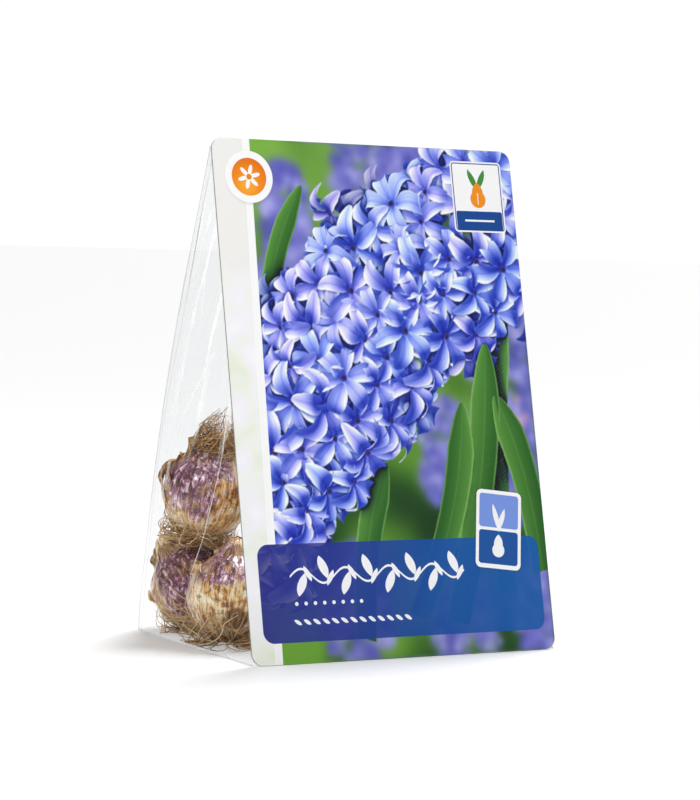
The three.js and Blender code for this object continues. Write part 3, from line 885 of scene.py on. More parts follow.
def make_card():
    radius = CARD_CORNER_RADIUS
    corner = radius * (1 - np.cos(np.linspace(0, np.pi / 2, 14)))
    straight = np.arange(radius, CARD_LENGTH - radius, PICTURE_STEP)[1:]
    up = np.concatenate([corner, straight, CARD_LENGTH - corner[::-1]])
    from_end = np.minimum(np.minimum(up, CARD_LENGTH - up), radius)
    half_width = HALF_CARD - radius + np.sqrt(radius ** 2 - (radius - from_end) ** 2)
    rows, columns = len(up), round(CARD_WIDTH / PICTURE_STEP)
    across = half_width[:, None] * np.linspace(-1, 1, columns)[None, :]
    level = np.broadcast_to(up[:, None], across.shape)
    front = on_card(across, level, 0).reshape(-1, 3)
    index = np.arange(rows * columns).reshape(rows, columns)
    rim = np.concatenate([index[0, :-1], index[:-1, -1], index[-1, :0:-1], index[:0:-1, 0]])
    behind = front[rim] + np.array([0, math.cos(LEAN), -math.sin(LEAN)]) * CARD_THICKNESS
    back = len(front) + np.arange(len(rim))
    edge = np.stack([rim, back, np.roll(back, -1), np.roll(rim, -1)], axis=-1)
    shape = Shape()
    shape.add(np.concatenate([front, behind]), grid_faces(rows, columns))
    shape.faces += [*edge.tolist(), back[::-1].tolist()]
    shape.finishes += [1] * len(edge) + [2]
    # The cut edge is painted dark grey: painted shade along the board's thickness
    shaded_cut_edge = board_finish("shaded_cut_board", ink(118, 114, 108), ink(158, 154, 148))
    bare_back = board_finish("bare_board", ink(226, 225, 221), ink(242, 241, 238))
    card = shape.build("card", [print_finish(), shaded_cut_edge, bare_back], rounded=False)

    # The painted picture, as a colour and an opacity of 1 at each point; the edge and the back stay white
    painted = painted_picture().sample(across + HALF_CARD, level) / 255
    colours = np.ones((len(front) + len(rim), 4))
    colours[:len(front), :3] = painted.reshape(-1, 3) ** GAMMA
    layer = card.data.attributes.new("picture", "FLOAT_COLOR", "POINT")
    layer.data.foreach_set("color", colours.astype(np.float32).ravel())
    settle(card, "printed_card")


# ---------------------------------------------------------------- the film bag

def bag_front(z):
    return z * math.tan(LEAN) + (CARD_THICKNESS + SEAT_GAP) / math.cos(LEAN)


def back_fold(z):
    share = z / BAG_TOP
    straight = mix(BASE_DEPTH, bag_front(BAG_TOP) + SEAL_THICKNESS, share)
    belly = BACK_EDGE_BOW * np.maximum(np.sin(np.pi * share), 0) ** BACK_EDGE_FULLNESS
    foot = np.maximum(1 - z / FOOT_ROUNDING, 0)
    return straight + belly - FOOT_ROUNDING * FOOT_TUCK * (1 - np.sqrt(1 - foot * foot))


def back_panel(x, z):
    crown = 1 - np.abs(x / HALF_BAG) ** BACK_SQUARENESS
    foot = mix(BACK_FOOT_SHARE, 1, ease(z / BACK_FOOT_HEIGHT))
    taut = BACK_CROWN * (1 - (x / HALF_BAG) ** 2)
    return back_fold(z) + taut + BACK_FILL * foot * crown * bell(z, BACK_FILL_HEIGHT, BACK_FILL_SPREAD)


def crease_place(z):
    heights, places = zip(*SIDE_CREASE)
    last = places[-1] + (z - heights[-1]) * math.tan(LEAN)
    return np.where(z < heights[-1], np.interp(z, heights, places), last)


# Lines pulled in the film of a side panel, raised in the mesh and painted with highlight streaks: from, to,
# width and strength
# A place on the panel is (distance behind the card's foot, height)
SIDE_PULLS = (
    ((62, 234), (73, 204), 1.0, 0.5),
    ((65, 224), (83, 170), 2.0, 0.8),
    ((50, 212), (79, 153), 1.6, 1),
    ((77, 158), (95, 108), 1.8, 0.9),
    ((42, 182), (63, 131), 1.5, 0.9),
    ((53, 142), (67, 112), 1.2, 0.7),
    ((47, 150), (84, 112), 1.3, 0.8),
    ((56, 205), (68, 150), 1.0, 0.4),
    ((92, 96), (117, 36), 1.1, 0.5),
)
PULL_RELIEF_WIDTH = 4
PULL_RELIEF = 0.5
PULL_HIGHLIGHT_WIDTH = 2.2
REAR_FOLD = ((58, 243), (80, 178), (104, 112), (113, 69), (121, 15), (123, 1))
FILM_VISIBLE_THICKNESS = 0.14
SIDE_COLUMNS = 44
BACK_PANEL_COLUMNS = 60
FILM_LEVELS = 96
# Slack in the back panel: its depth, the height of its middle and its spread
BACK_SLACK = (0.35, 120, 60)
# How strongly each feature of the film shows, from 0 where it is clear to 1
# The highlight streaks share is painted highlight on the side panels' crease and pulls
FILM_SHOWS = {"haze": 0.008, "ribs": 0.06, "seal": 0.06, "lap": 0.02, "lap_edge": 0.12, "highlight_streaks": 0.6}
EDGE_SHOWS, FOLD_SHOWS, CLEAR_SHOWS, GRAZING_SHOWS, MOST_SHOWS = 0.18, 0.10, 0.004, 0.06, 0.95
CREASE_HIGHLIGHT_WIDTH, FOLD_LINE, EDGE_LINE = 0.5, 0.8, 1.4
REAR_EDGE_HEIGHTS = (0, 20, 60, 110, 160, 205, BAG_TOP)
LAP_HALF_WIDTH = 4
RIBS_PER_MM = 5
FILM_GREY, FILM_WHITE, FILM_EDGE = ink(206, 210, 213), ink(252, 253, 253), ink(150, 154, 158)
FILM_CLEAR = (0.975, 0.977, 0.979)


def beside_line(y, z, start, end):
    """For each place, the share of a line at the line's nearest point, and how far off that point is."""
    way_y, way_z = end[0] - start[0], end[1] - start[1]
    share = ((y - start[0]) * way_y + (z - start[1]) * way_z) / (way_y ** 2 + way_z ** 2)
    share = share.at_least(0).at_most(1) if isinstance(share, Value) else np.clip(share, 0, 1)
    far = ((y - start[0] - share * way_y) ** 2 + (z - start[1] - share * way_z) ** 2) ** 0.5
    return share, far


def ridge(y, z, start, end, width, height):
    """The rise of the film beside a pulled line."""
    share, far = beside_line(y, z, start, end)
    return height * np.exp(-(far / width) ** 2) * np.sin(np.pi * np.clip(share, 0.02, 0.98)) ** 0.5


def side_panel(y, z):
    """How far a side panel lies from the middle of the bag."""
    front = bag_front(z)
    back = back_fold(z)
    share = np.clip((y - front) / (back - front), 0, 1)
    taut = np.sin(np.pi * share)
    crease = np.minimum(crease_place(z), mix(front, back, CREASE_LIMIT))
    fade_from, fade_to = CREASE_FADE
    kept = ease((fade_to - z) / (fade_to - fade_from))
    dent = CREASE_DENT * kept * np.maximum(1 - np.abs(y - crease) / CREASE_WIDTH, 0) ** CREASE_SHARPNESS
    out = HALF_BAG + SIDE_FILL * taut * bell(z, SIDE_FILL_HEIGHT, SIDE_FILL_SPREAD) - dent * taut
    for start, end, width, strength in SIDE_PULLS:
        out = out + ridge(y, z, start, end, PULL_RELIEF_WIDTH * width, PULL_RELIEF * strength) * taut
    return out


def bag_levels():
    foot = FOOT_ROUNDING * (1 - np.cos(np.linspace(0, np.pi / 2, 7)))
    wall = np.linspace(FOOT_ROUNDING, BAG_TOP - SEAL_HEIGHT, FILM_LEVELS)[1:]
    seal = BAG_TOP - SEAL_HEIGHT * np.linspace(1, 0, 21)[1:]
    return np.concatenate([foot, wall, seal])


def make_bag():
    z = bag_levels()[:, None]
    front = bag_front(z)
    shares = 0.5 - 0.5 * np.cos(np.linspace(0, np.pi, SIDE_COLUMNS))[None, :]
    shares = mix(np.linspace(0, 1, SIDE_COLUMNS)[None, :], shares, 0.5)
    side_y = mix(front, back_fold(z), shares)
    side_x = side_panel(side_y, z)
    flange_x = HALF_BAG - np.linspace(FLANGE_WIDTH, 0, 5)[None, :-1] + 0 * z
    flange_y = front + 0 * flange_x
    back_x = HALF_BAG * np.cos(np.linspace(0, np.pi, BACK_PANEL_COLUMNS))[None, 1:-1] + 0 * z
    back_y = back_panel(back_x, z)
    depth, height, spread = BACK_SLACK
    waves = np.sin(back_x * 0.11 + 1.5 * np.sin(z * 0.021)) * np.sin(back_x * 0.047 + 1)
    back_y = back_y - np.abs(depth * bell(z, height, spread) * waves) * (1 - (back_x / HALF_BAG) ** 2)
    ring_x = np.concatenate([flange_x, side_x, back_x, -side_x[:, ::-1], -flange_x[:, ::-1]], axis=1)
    ring_y = np.concatenate([flange_y, side_y, back_y, side_y[:, ::-1], flange_y[:, ::-1]], axis=1)
    shape = Shape()
    shape.add(noted(ring_x, ring_y, z), grid_faces(*ring_x.shape))

    # The bottom panel, edge to edge with the foot of the sides and the back
    foot_side = side_y[0]
    foot_back_x = np.concatenate([[HALF_BAG], back_x[0], [-HALF_BAG]])
    foot_back_y = np.concatenate([foot_side[-1:], back_y[0], foot_side[-1:]])
    share = ((foot_side - foot_side[0]) / (foot_side[-1] - foot_side[0]))[:, None]
    bottom_y = mix(foot_side[0], foot_back_y[None, :], share)
    bottom_x = foot_back_x[None, :] / HALF_BAG * side_x[0][:, None]
    shape.add(noted(bottom_x, bottom_y, 0), grid_faces(*bottom_x.shape))

    # The front panel's strip at the seal, behind the card's top
    strip_z = z[z[:, 0] > BAG_TOP - SEAL_HEIGHT - FLANGE_WIDTH]
    strip_x = np.linspace(HALF_BAG - FLANGE_WIDTH, FLANGE_WIDTH - HALF_BAG, 30)[None, :]
    strip = noted(strip_x, bag_front(strip_z), strip_z)
    shape.add(strip, grid_faces(*strip.shape[:2])[:, ::-1])

    bag = shape.build("film_pouch", [film_finish()], weld=0.02)
    wall = bag.modifiers.new("film_gauge", "SOLIDIFY")
    wall.thickness = FILM_VISIBLE_THICKNESS * MM
    wall.offset = -1
    settle(bag, "film_bag")


def line_share(y, z, points, width):
    """1 on a line through points and 0 away from it."""
    nearest = None
    for start, end in zip(points, points[1:]):
        far = beside_line(y, z, start, end)[1]
        nearest = far if nearest is None else nearest.at_most(far)
    return 1 - nearest.step(width * 0.3, width)


def streak(y, z, start, end, width):
    """A soft line that fades out at both ends."""
    share, far = beside_line(y, z, start, end)
    return (1 - (far / width).step(0, 1)) * (share * (1 - share) * 4) ** 0.5


def side_highlight_streaks(finish, x, depth, z):
    """Painted highlight streaks on a side panel's crease and pulls, and a painted sheen where its film hangs
    loose above: how white the film is made there.
    """
    broken = finish.noise(finish.place(), 12, 3, 0.6).step(0.36, 0.62)
    crease = line_share(depth, z, [(place, height) for height, place in SIDE_CREASE], CREASE_HIGHLIGHT_WIDTH)
    highlight_streaks = crease * (0.45 + 0.4 * broken) * (0.25 + 0.75 * z.step(20, 60))
    for start, end, width, strength in SIDE_PULLS:
        pull = streak(depth, z, start, end, PULL_HIGHLIGHT_WIDTH * width)
        highlight_streaks = highlight_streaks.at_least(pull * strength * (0.5 + 0.2 * broken))
    drawn_out = finish.join(x * 0.1, depth * 0.9 + z * 0.44, (z * 0.9 - depth * 0.44) * 0.1)
    slack_sheen = finish.noise(drawn_out, 5, 3, 0.5).step(0.5, 0.75)
    return highlight_streaks + 0.3 * slack_sheen * z.step(60, 140)


def film_finish():
    """Clear glossy film: it shows most at its folds, pulls and seals; the white streaks on its crease and
    pulls are painted highlights.
    """
    finish = Finish("clear_film")
    spot = finish.place()
    x, y, z = finish.split(spot)
    depth = y - FRONT_FOOT
    facing = finish.split(finish.node("ShaderNodeNewGeometry", None, None, "True Normal"))[0]
    on_side = abs(facing).step(0.6, 0.8)
    # The crease and pull streaks are painted highlights: they whiten the film and raise its share of sheet
    highlight_streaks = side_highlight_streaks(finish, x, depth, z) * on_side
    fold = line_share(depth, z, REAR_FOLD, FOLD_LINE) * on_side
    rear_edge = [(float(back_fold(height)), height) for height in REAR_EDGE_HEIGHTS]
    # Along its foot the film is greyed too: partly the fold at the floor, partly painted contact shade
    edges = line_share(depth, z, rear_edge, EDGE_LINE).at_least(1 - z.step(0.4, 1.4)) * on_side
    seal = (z - (BAG_TOP - SEAL_HEIGHT)).step(-0.3, 0.3)
    ribs = (z * RIBS_PER_MM).sine().step(0, 0.6) * seal
    past_lap = abs(x) - LAP_HALF_WIDTH
    seen = {
        "haze": finish.noise(spot, 30, 3, 0.6).step(0.45, 0.8),
        "ribs": ribs,
        "seal": seal,
        "lap": (1 - past_lap.step(-0.1, 0.1)) * (1 - on_side),
        "lap_edge": (1 - abs(past_lap).step(0.1, 0.5)) * (1 - on_side),
        "highlight_streaks": highlight_streaks,
    }
    shows = sum(FILM_SHOWS[name] * share for name, share in seen.items())
    grazing = finish.node("ShaderNodeLayerWeight", None, {"Blend": 0.5}, "Facing") ** 4
    share = shows + EDGE_SHOWS * edges + FOLD_SHOWS * fold + CLEAR_SHOWS + GRAZING_SHOWS * grazing
    pulled = finish.noise(finish.vector("MULTIPLY", spot, (1, 1, 0.25)), 9, 3, 0.5)
    # White where the film shows: real at its seal, ribs, lap and haze, painted highlight along the crease and
    # pull streaks
    colour = finish.blend(FILM_GREY, FILM_WHITE, (shows * 8).at_most(1))
    # Grey at the folds, the rear edge and the foot, where the foot's grey is partly painted contact shade
    colour = finish.blend(colour, FILM_EDGE, edges.at_least(fold))
    sheet = finish.surface(
        Base_Color=colour,
        Roughness=0.12 + 0.3 * ribs,
        Specular_IOR_Level=0.8,
        Normal=finish.bump(pulled + 0.15 * highlight_streaks, 0.5),
    )
    clear = finish.node("ShaderNodeBsdfTransparent", None, {"Color": FILM_CLEAR})
    both = {0: share.at_most(MOST_SHOWS), 1: clear, 2: sheet}
    return finish.done(finish.node("ShaderNodeMixShader", None, both))


# ---------------------------------------------------------------- the bulbs

LOW = FILM_THICKNESS + SEAT_GAP + BULB_RADIUS
# How fine a bulb is, and how many loose scraps of skin, neck tatters and roots it has: one set for the bulbs
# that the photograph shows, and one for those behind the card
SHOWN = {"rows": 150, "columns": 220, "flaps": 9, "tatters": 12, "roots": 150, "loose": 16}
HIDDEN = {"rows": 70, "columns": 100, "flaps": 3, "tatters": 8, "roots": 30, "loose": 8}
# What a bulb has where its own line says nothing else. Its claim is its share of the room up to a neighbour
USUAL = {
    "claim": 1, "root_reach": 1, "straw": 0, "plate": 0, "neck_rise": NECK_RISE, "neck_spread": NECK_SPREAD,
    "scar": None, "peels": (),
}


def bulb(at, neck, turn, blush, spread, detail, **own):
    """A bulb's middle, the way its neck points, its turn, and where and how far it is mauve."""
    return {"at": at, "neck": neck, "turn": turn, "blush": blush, "spread": spread, **USUAL, **detail, **own}


BULBS = {
    "left_front": bulb(
        (-64, 67, LOW), (0.2, 0.2, 1), 0.4, (-0.4, -0.3, 0.9), 0.5, SHOWN, scar=(-0.36, -0.86, -0.38),
    ),
    "left_rear": bulb(
        (-61.5, 114.2, LOW + 0.3), (-0.45, 0.5, 0.74), 2.1, (-0.45, -0.8, 0.4), 0.2, SHOWN,
        root_reach=1.7, roots=190, loose=14,
    ),
    "left_upper": bulb(
        (-61.5, 102, 73.5), (0.2, -0.12, 1), 4.2, (-0.62, -0.62, 0.48), 0.35, SHOWN,
        straw=300, plate=0.15, claim=20, roots=190, loose=9, root_reach=0.6, neck_rise=0.36, neck_spread=0.42,
        # Each peel: its place round the bulb, its polar angles, its width, its lift and how dry it is
        peels=(
            (-2.1, 2.5, 1.25, 1.1, 2.4, 0.45),
            (-2.2, 1.5, 0.75, 0.9, 1.2, 0.5),
            (-1.8, 0.95, 0.45, 0.4, 3.0, 1),
        ),
    ),
    "front_left": bulb((-32, 32, LOW), (0.3, -0.2, 1), 1.3, (0, 0, 1), 0.4, HIDDEN),
    "front_right": bulb((62.5, 32, LOW), (0.25, 0.3, 1), 3.3, (0.8, 0, 0.6), 0.4, HIDDEN),
    "middle": bulb((-8, 73, LOW), (-0.3, 0.2, 1), 5.1, (0, 0.4, 1), 0.4, HIDDEN),
    "right": bulb((40, 73.5, LOW), (0.3, -0.6, 1), 0.9, (1, 0, 0.5), 0.4, HIDDEN),
    "rear_middle": bulb((16, 114.5, LOW), (-0.5, 0.3, 1), 2.7, (0, 1, 0.6), 0.4, HIDDEN),
    "rear_right": bulb((63.5, 114.5, LOW), (0.45, 0.5, 1), 4.7, (0.7, 0.7, 0.3), 0.4, HIDDEN),
}


def resting_place(*carriers):
    """The middle of a bulb that lies on three others of its own size."""
    a, b, c = (np.array(BULBS[name]["at"], float) for name in carriers)
    ab, ac = b - a, c - a
    cross = np.cross(ab, ac)
    up = unit(cross) * np.sign(cross[2])
    to_middle = (np.cross(cross, ab) * (ac @ ac) + np.cross(ac, cross) * (ab @ ab)) / (2 * (cross @ cross))
    spacing = 2 * BULB_RADIUS + SEAT_GAP - SKIN_HOLLOW
    return tuple(a + to_middle + up * math.sqrt(spacing ** 2 - to_middle @ to_middle))


UPPER_REST = resting_place("right", "rear_middle", "rear_right")
BULBS["right_upper"] = bulb(UPPER_REST, (0.3, 0.1, 1), 1.8, (0.2, 0.5, 0.9), 0.4, HIDDEN)

# The form of the skin, in shares of the radius. A swell is a rise, with its middle and spread as polar angles
SHOULDER = (-0.05, 0.66, 0.3)
BASE = (-0.04, np.pi, 0.5)
PLATE_SPREAD = 0.35
# Waves round the bulb: depth, count and how far they turn on the way down
RIBS = (0.006, 9, 2)
DENTS = (0.008, 3, 2.3)
SKIN_SWELL = 0.008
# The overlapping skins: how thick their edges are, how many there are, and how ragged: depth and waves
SKIN_LAP = 0.018
SKIN_EDGES = 2
SKIN_RAGS = ((0.012, 9, 1), (0.006, 23, 3))
# The relief of the dry skin: sizes in shares of the radius, depths in millimetres
VEIN_SIZE, FOLD_SIZE, PUCKER_SIZE, HOLLOW_SIZE = 0.055, 0.15, 0.09, 0.24
VEIN_DEPTH, FOLD_DEPTH, PUCKER_DEPTH, HOLLOW_DEPTH, RELIEF_SUNK = 0.06, 0.2, 0.13, 0.2, 0.28
NECK_RELIEF = (1.6, 0.25, 0.4)
BASE_RELIEF = (0.8, np.pi, 0.6)
SCAR_SIZE = 0.32
# A root's course: angle from the base's pole, shares of its reach and its sweep, and height off the skin
ROOT_COURSE = (
    (0.16, 0, 0, -1.5),
    (0.36, 0, 0.1, 0.8),
    (0.45, 0.4, 0.35, 0.8),
    (0.46, 0.8, 0.75, 0.8),
    (0.48, 1, 1, 0.5),
)
CLIMBING_ROOT = 16  # one root in so many climbs the bulb's side
# A straw's course: polar angle, its spread and which draw spreads it, share of the whirl, height off the skin
STRAW_COURSE = (
    (0.34, 0.24, 3, 0, -1),
    (0.44, 0.20, 3, 0.25, 0.6),
    (0.36, 0.16, 4, 0.55, 0.6),
    (0.22, 0.14, 5, 0.85, 0.4),
    (0.06, 0.20, 4, 1.1, 0),
)
FIBRE_SIDES = 5
OFF_BACK = 1.5  # what loose parts keep off the back panel, which bulges
FLAP_THICKNESS = 0.22


def swell(polar, rise, middle, spread):
    return rise * bell(polar, middle, spread)


def ripple(points, size, seed, waves=9):
    """Smooth repeatable unevenness, from about -1 to 1."""
    draw = np.random.default_rng(seed)
    total = 0
    for _ in range(waves):
        way = draw.normal(size=points.shape[-1])
        total = total + np.sin(points @ way / size + draw.uniform(0, 2 * np.pi))
    return total / math.sqrt(waves)


class Bulb:
    """One bulb: its skin, and the walls and neighbours that its loose parts stay clear of."""

    def __init__(self, name, facts):
        self.name = name
        self.facts = facts
        self.at = np.array(facts["at"], float)
        self.turn = facts["turn"]
        self.seed = round(10 * self.turn)
        tilt = Vector((0, 0, 1)).rotation_difference(Vector(facts["neck"]).normalized())
        self.frame = np.array(tilt.to_matrix()).T
        self.draw = np.random.default_rng(round(100 * self.turn))
        self.shape = Shape()
        self.planes = self.clear_planes()

    def skin_radius(self, polar, around):
        facts = self.facts
        form = 1 + swell(polar, facts["neck_rise"], 0, facts["neck_spread"])
        form = form + swell(polar, *SHOULDER) + swell(polar, *BASE)
        form = form + swell(polar, facts["plate"], np.pi, PLATE_SPREAD)
        belt = np.sin(polar) ** 2
        depth, count, lean = RIBS
        ribs = depth * np.cos(count * around + lean * np.sin(2 * polar) + self.turn) * belt
        depth, count, lean = DENTS
        dents = depth * np.sin(count * around + lean * polar + 2 * self.turn) * belt
        lap = (around + 0.5 * polar + self.turn) / (2 * np.pi)
        ragged = sum(depth * np.sin(waves * polar + start * self.turn) for depth, waves, start in SKIN_RAGS)
        skins = -SKIN_LAP * (((lap + ragged) * SKIN_EDGES) % 1) * np.minimum(belt * 1.6, 1)
        return BULB_RADIUS * (form + ribs + np.minimum(dents, 0) + skins + SKIN_SWELL)

    def relief(self, polar, around):
        """The veins, wrinkles and puckers of the dry skin."""
        ring = noted(np.cos(around), np.sin(around), 0.5 * polar)
        body = noted(np.sin(polar) * np.cos(around), np.sin(polar) * np.sin(around), np.cos(polar))
        veins = VEIN_DEPTH * ripple(ring, VEIN_SIZE, self.seed + 5)
        folds = FOLD_DEPTH * np.abs(ripple(ring, FOLD_SIZE, self.seed + 6))
        puckers = PUCKER_DEPTH * ripple(body, PUCKER_SIZE, self.seed + 7)
        hollows = HOLLOW_DEPTH * np.minimum(ripple(body, HOLLOW_SIZE, self.seed + 8), 0.3)
        near_ends = 1 + swell(polar, *NECK_RELIEF) + swell(polar, *BASE_RELIEF)
        return near_ends * (veins + folds + puckers + hollows - RELIEF_SUNK)

    def on_skin(self, polar, around, lift, relief=True):
        polar, around = np.broadcast_arrays(np.asarray(polar, float), np.asarray(around, float))
        far = self.skin_radius(polar, around) + lift
        if relief:
            far = far + self.relief(polar, around)
        across = far * np.sin(polar)
        return noted(across * np.sin(around), -across * np.cos(around), far * np.cos(polar)) @ self.frame

    def clear_planes(self):
        planes = []
        for name, other in BULBS.items():
            if name == self.name:
                continue
            away = np.array(other["at"], float) - self.at
            length = np.linalg.norm(away)
            free = length - 2 * BULB_RADIUS - SEAT_GAP
            claim = self.facts["claim"] / (self.facts["claim"] + other["claim"])
            planes.append((away / length, BULB_RADIUS + free * claim))
        planes.append((np.array([0, 0, -1]), self.at[2] - FILM_THICKNESS - SEAT_GAP))
        to_card = np.array([0, -math.cos(LEAN), math.sin(LEAN)])
        card_reach = (self.at[1] - bag_front(self.at[2])) * math.cos(LEAN)
        planes.append((to_card, card_reach - FILM_THICKNESS - SEAT_GAP))
        return planes

    def clear(self, points, margin):
        """Moves points off the neighbours and the film."""
        kept = np.array(points, float)
        for normal, reach in self.planes:
            over = np.maximum(kept @ normal - reach + margin, 0)
            kept = kept - over[..., None] * normal
        x, y, z = self.at
        wall = FILM_THICKNESS + SEAT_GAP + margin
        level = np.maximum(kept[..., 2] + z, 0)
        back = back_panel(np.clip(kept[..., 0] + x, -HALF_BAG, HALF_BAG), level) - OFF_BACK - wall
        kept[..., 1] = np.minimum(kept[..., 1], back - y)
        kept[..., 0] = np.clip(kept[..., 0], -HALF_BAG + wall - x, HALF_BAG - wall - x)
        return kept

    def blush(self, points):
        """How mauve the skin is, by the way a point faces."""
        way = unit(points)
        uneven = 0.10 * ripple(way, 0.3, self.seed + 3) + 0.05 * ripple(way, 0.09, 4)
        return ease((way @ unit(self.facts["blush"]) - self.facts["spread"] + uneven) / 0.6)

    def add_grid(self, points, polar, around, dry, lit, closed=False):
        grown = noted(np.cos(around), np.sin(around), polar)
        self.shape.add(
            points + self.at,
            grid_faces(*points.shape[:2], closed=closed),
            grown=np.broadcast_to(grown, points.shape).reshape(-1, 3),
            tone=noted(self.blush(points), dry, lit).reshape(-1, 3),
        )

    def add_skin(self):
        polar = np.linspace(0.004, np.pi - 0.004, self.facts["rows"])[:, None]
        around = np.linspace(0, 2 * np.pi, self.facts["columns"], endpoint=False)[None, :]
        points = self.on_skin(polar, around, 0)
        dry = 0
        if self.facts["scar"]:
            way = unit(points)
            off = np.linalg.norm(way - unit(self.facts["scar"]), axis=-1)
            dry = 0.95 * ease((SCAR_SIZE - off + 0.03 * ripple(way, 0.06, 12)) / 0.1)
        self.add_grid(points, polar, around, dry, 0.3, closed=True)

    def add_flap(self, around, polar_from, polar_to, width, lift, dry):
        """A papery scrap of skin, held low and lifting towards its torn edge."""
        along = np.linspace(0, 1, 16)[:, None]
        across = np.linspace(-0.5, 0.5, 15)[None, :]
        torn = 0.10 * ripple(noted(across * 9, 0 * along), 1, round(97 * around) % 911)
        polar = mix(polar_from, polar_to, along * (1 + torn * along - 0.3 * (2 * across) ** 2 * along))
        span = width * (1 - 0.7 * along ** 2) / np.maximum(np.sin(polar), 0.3)
        angle = around + span * across + 0.12 * along * np.sin(5 * around)
        curl = 1 + 1.4 * (2 * across) ** 2 * along
        height = mix(-0.5, lift, along ** 1.7) * curl + 0.4 * along * np.sin(11 * across + 7 * along + around)
        outer = self.clear(self.on_skin(polar, angle, height), 0.3)
        far = np.linalg.norm(outer, axis=-1, keepdims=True)
        lit = 0.35 + 0.3 * self.draw.uniform()
        for side in (outer, outer * (1 - FLAP_THICKNESS / np.maximum(far, 1))):
            self.add_grid(side, polar, angle, dry, lit)

    def add_fibre(self, stations, thickness, lit, steps=22, crook=0.6):
        """A dry root or fibre: a thin strand, thinner to its end, through points near the skin."""
        stations = np.array(stations, float)
        polar, around, lift = stations.T
        points = self.on_skin(polar, around, lift, relief=False)
        places = np.linspace(0, len(points) - 1, steps)
        path = smooth_path(points, places)
        loose = np.linspace(0, 1, steps)[:, None]
        sway = self.draw.normal(size=3) * crook
        wave = sway * np.sin(loose * self.draw.uniform(5, 16) + self.draw.uniform(0, 6))
        knot = self.draw.normal(size=3) * 0.5 * crook * np.sin(loose * self.draw.uniform(18, 30))
        path = self.clear(path + (wave + knot) * loose, 0.7 * thickness)
        radius = thickness * (0.62 - 0.42 * loose[:, 0])
        tube, faces = tube_mesh(path, radius, FIBRE_SIDES)
        self.shape.add(tube + self.at, faces, 1, grown=(0, 0, 0), tone=(0, 0, lit))

    def add_roots(self):
        """Roots from the base plate: most lie curled below the bulb, and a few climb its side."""
        count = self.facts["roots"]
        for i in range(count):
            draw = self.draw.uniform(size=7)
            around = i / count * 2 * np.pi * 5 + draw[0]
            sweep = (draw[1] - 0.5) * 3.4
            climbs = i % CLIMBING_ROOT == 0
            far = (0.25 + 0.45 * draw[2]) * self.facts["root_reach"] + (0.9 * draw[6] if climbs else 0)
            off = 0 if climbs else self.facts["loose"] * draw[4] ** 1.5
            rises = (0, 0.3 * off, off, off * (0.4 + draw[5]), 0.6 * off * draw[3])
            self.add_fibre([
                (np.pi - start - reach * far, around + turned * sweep, height + rise)
                for (start, reach, turned, height), rise in zip(ROOT_COURSE, rises)
            ], mix(0.3, 0.8, draw[5]), 0.1 + 0.8 * draw[2], 26, 0.9)

    def add_straw(self):
        count = self.facts["straw"]
        for i in range(count):
            draw = self.draw.uniform(size=6)
            around = i / count * 2 * np.pi * 7 + draw[0]
            whirl = (draw[1] - 0.35) * 4.2
            tall = 0.6 + 12 * draw[2] ** 2.2
            rises = (0, 0.2 * tall, 0.45 * tall, 0.75 * tall, tall * (0.7 + 0.5 * draw[5]))
            self.add_fibre([
                (polar + spread * draw[which], around + turned * whirl, height + rise)
                for (polar, spread, which, turned, height), rise in zip(STRAW_COURSE, rises)
            ], mix(0.2, 0.6, draw[5]), 0.05 + 0.75 * draw[0], 30, 1.3)

    def add_scraps(self):
        flaps, tatters = self.facts["flaps"], self.facts["tatters"]
        for i in range(flaps):
            a, b, c, d = self.draw.uniform(size=4)
            around = (i + 0.7 * a) * 2 * np.pi / flaps + self.turn
            start = 1.1 + 0.7 * b
            torn = start - 0.42 - 0.25 * c
            self.add_flap(around, start, torn, 0.55 + 0.3 * d, 0.8 + 1.4 * a, 0.15 + 0.5 * c)
        for i in range(tatters):
            a, b, c, d = self.draw.uniform(size=4)
            around = (i + 0.5 * a) * 2 * np.pi / tatters
            start, torn = 0.66 + 0.15 * b, 0.2 + 0.25 * c
            self.add_flap(around, start, torn, 0.22 + 0.25 * d, 0.4 + 1.8 * a, 0.5 + 0.5 * b)
        for peel in self.facts["peels"]:
            self.add_flap(*peel)

    def make(self, finishes):
        self.add_skin()
        self.add_scraps()
        self.add_roots()
        self.add_straw()
        piece = self.shape.build("hyacinth_bulb_" + self.name, finishes)
        settle(piece, "bulb_" + self.name)


def smooth_path(points, places):
    """Points on a Catmull-Rom curve."""
    padded = np.concatenate([points[:1] * 2 - points[1:2], points, points[-1:] * 2 - points[-2:-1]])
    first = np.clip(places.astype(int), 0, len(points) - 2)
    t = (places - first)[:, None]
    a, b, c, d = (padded[first + i] for i in range(4))
    bend = 2 * a - 5 * b + 4 * c - d
    twist = 3 * b - a - 3 * c + d
    return 0.5 * (2 * b + (c - a) * t + bend * t ** 2 + twist * t ** 3)


def tube_mesh(path, radius, sides):
    """A closed tube along a path."""
    way = unit(np.gradient(path, axis=0) + 1e-9)
    guide = np.array([0.31, 0.53, 0.79])
    aside = unit(np.cross(way, guide))
    upward = np.cross(way, aside)
    angle = np.linspace(0, 2 * np.pi, sides, endpoint=False)
    ring = np.cos(angle)[None, :, None] * aside[:, None] + np.sin(angle)[None, :, None] * upward[:, None]
    points = path[:, None] + ring * radius[:, None, None]
    faces = grid_faces(len(path), sides, closed=True).tolist()
    last = (len(path) - 1) * sides
    for i in range(1, sides - 1):
        faces.append([0, i + 1, i, 0])
        faces.append([last, last + i, last + i + 1, last])
    return points.reshape(-1, 3), faces


def inks(*stops):
    return [(at, ink(*tone)) for at, *tone in stops]


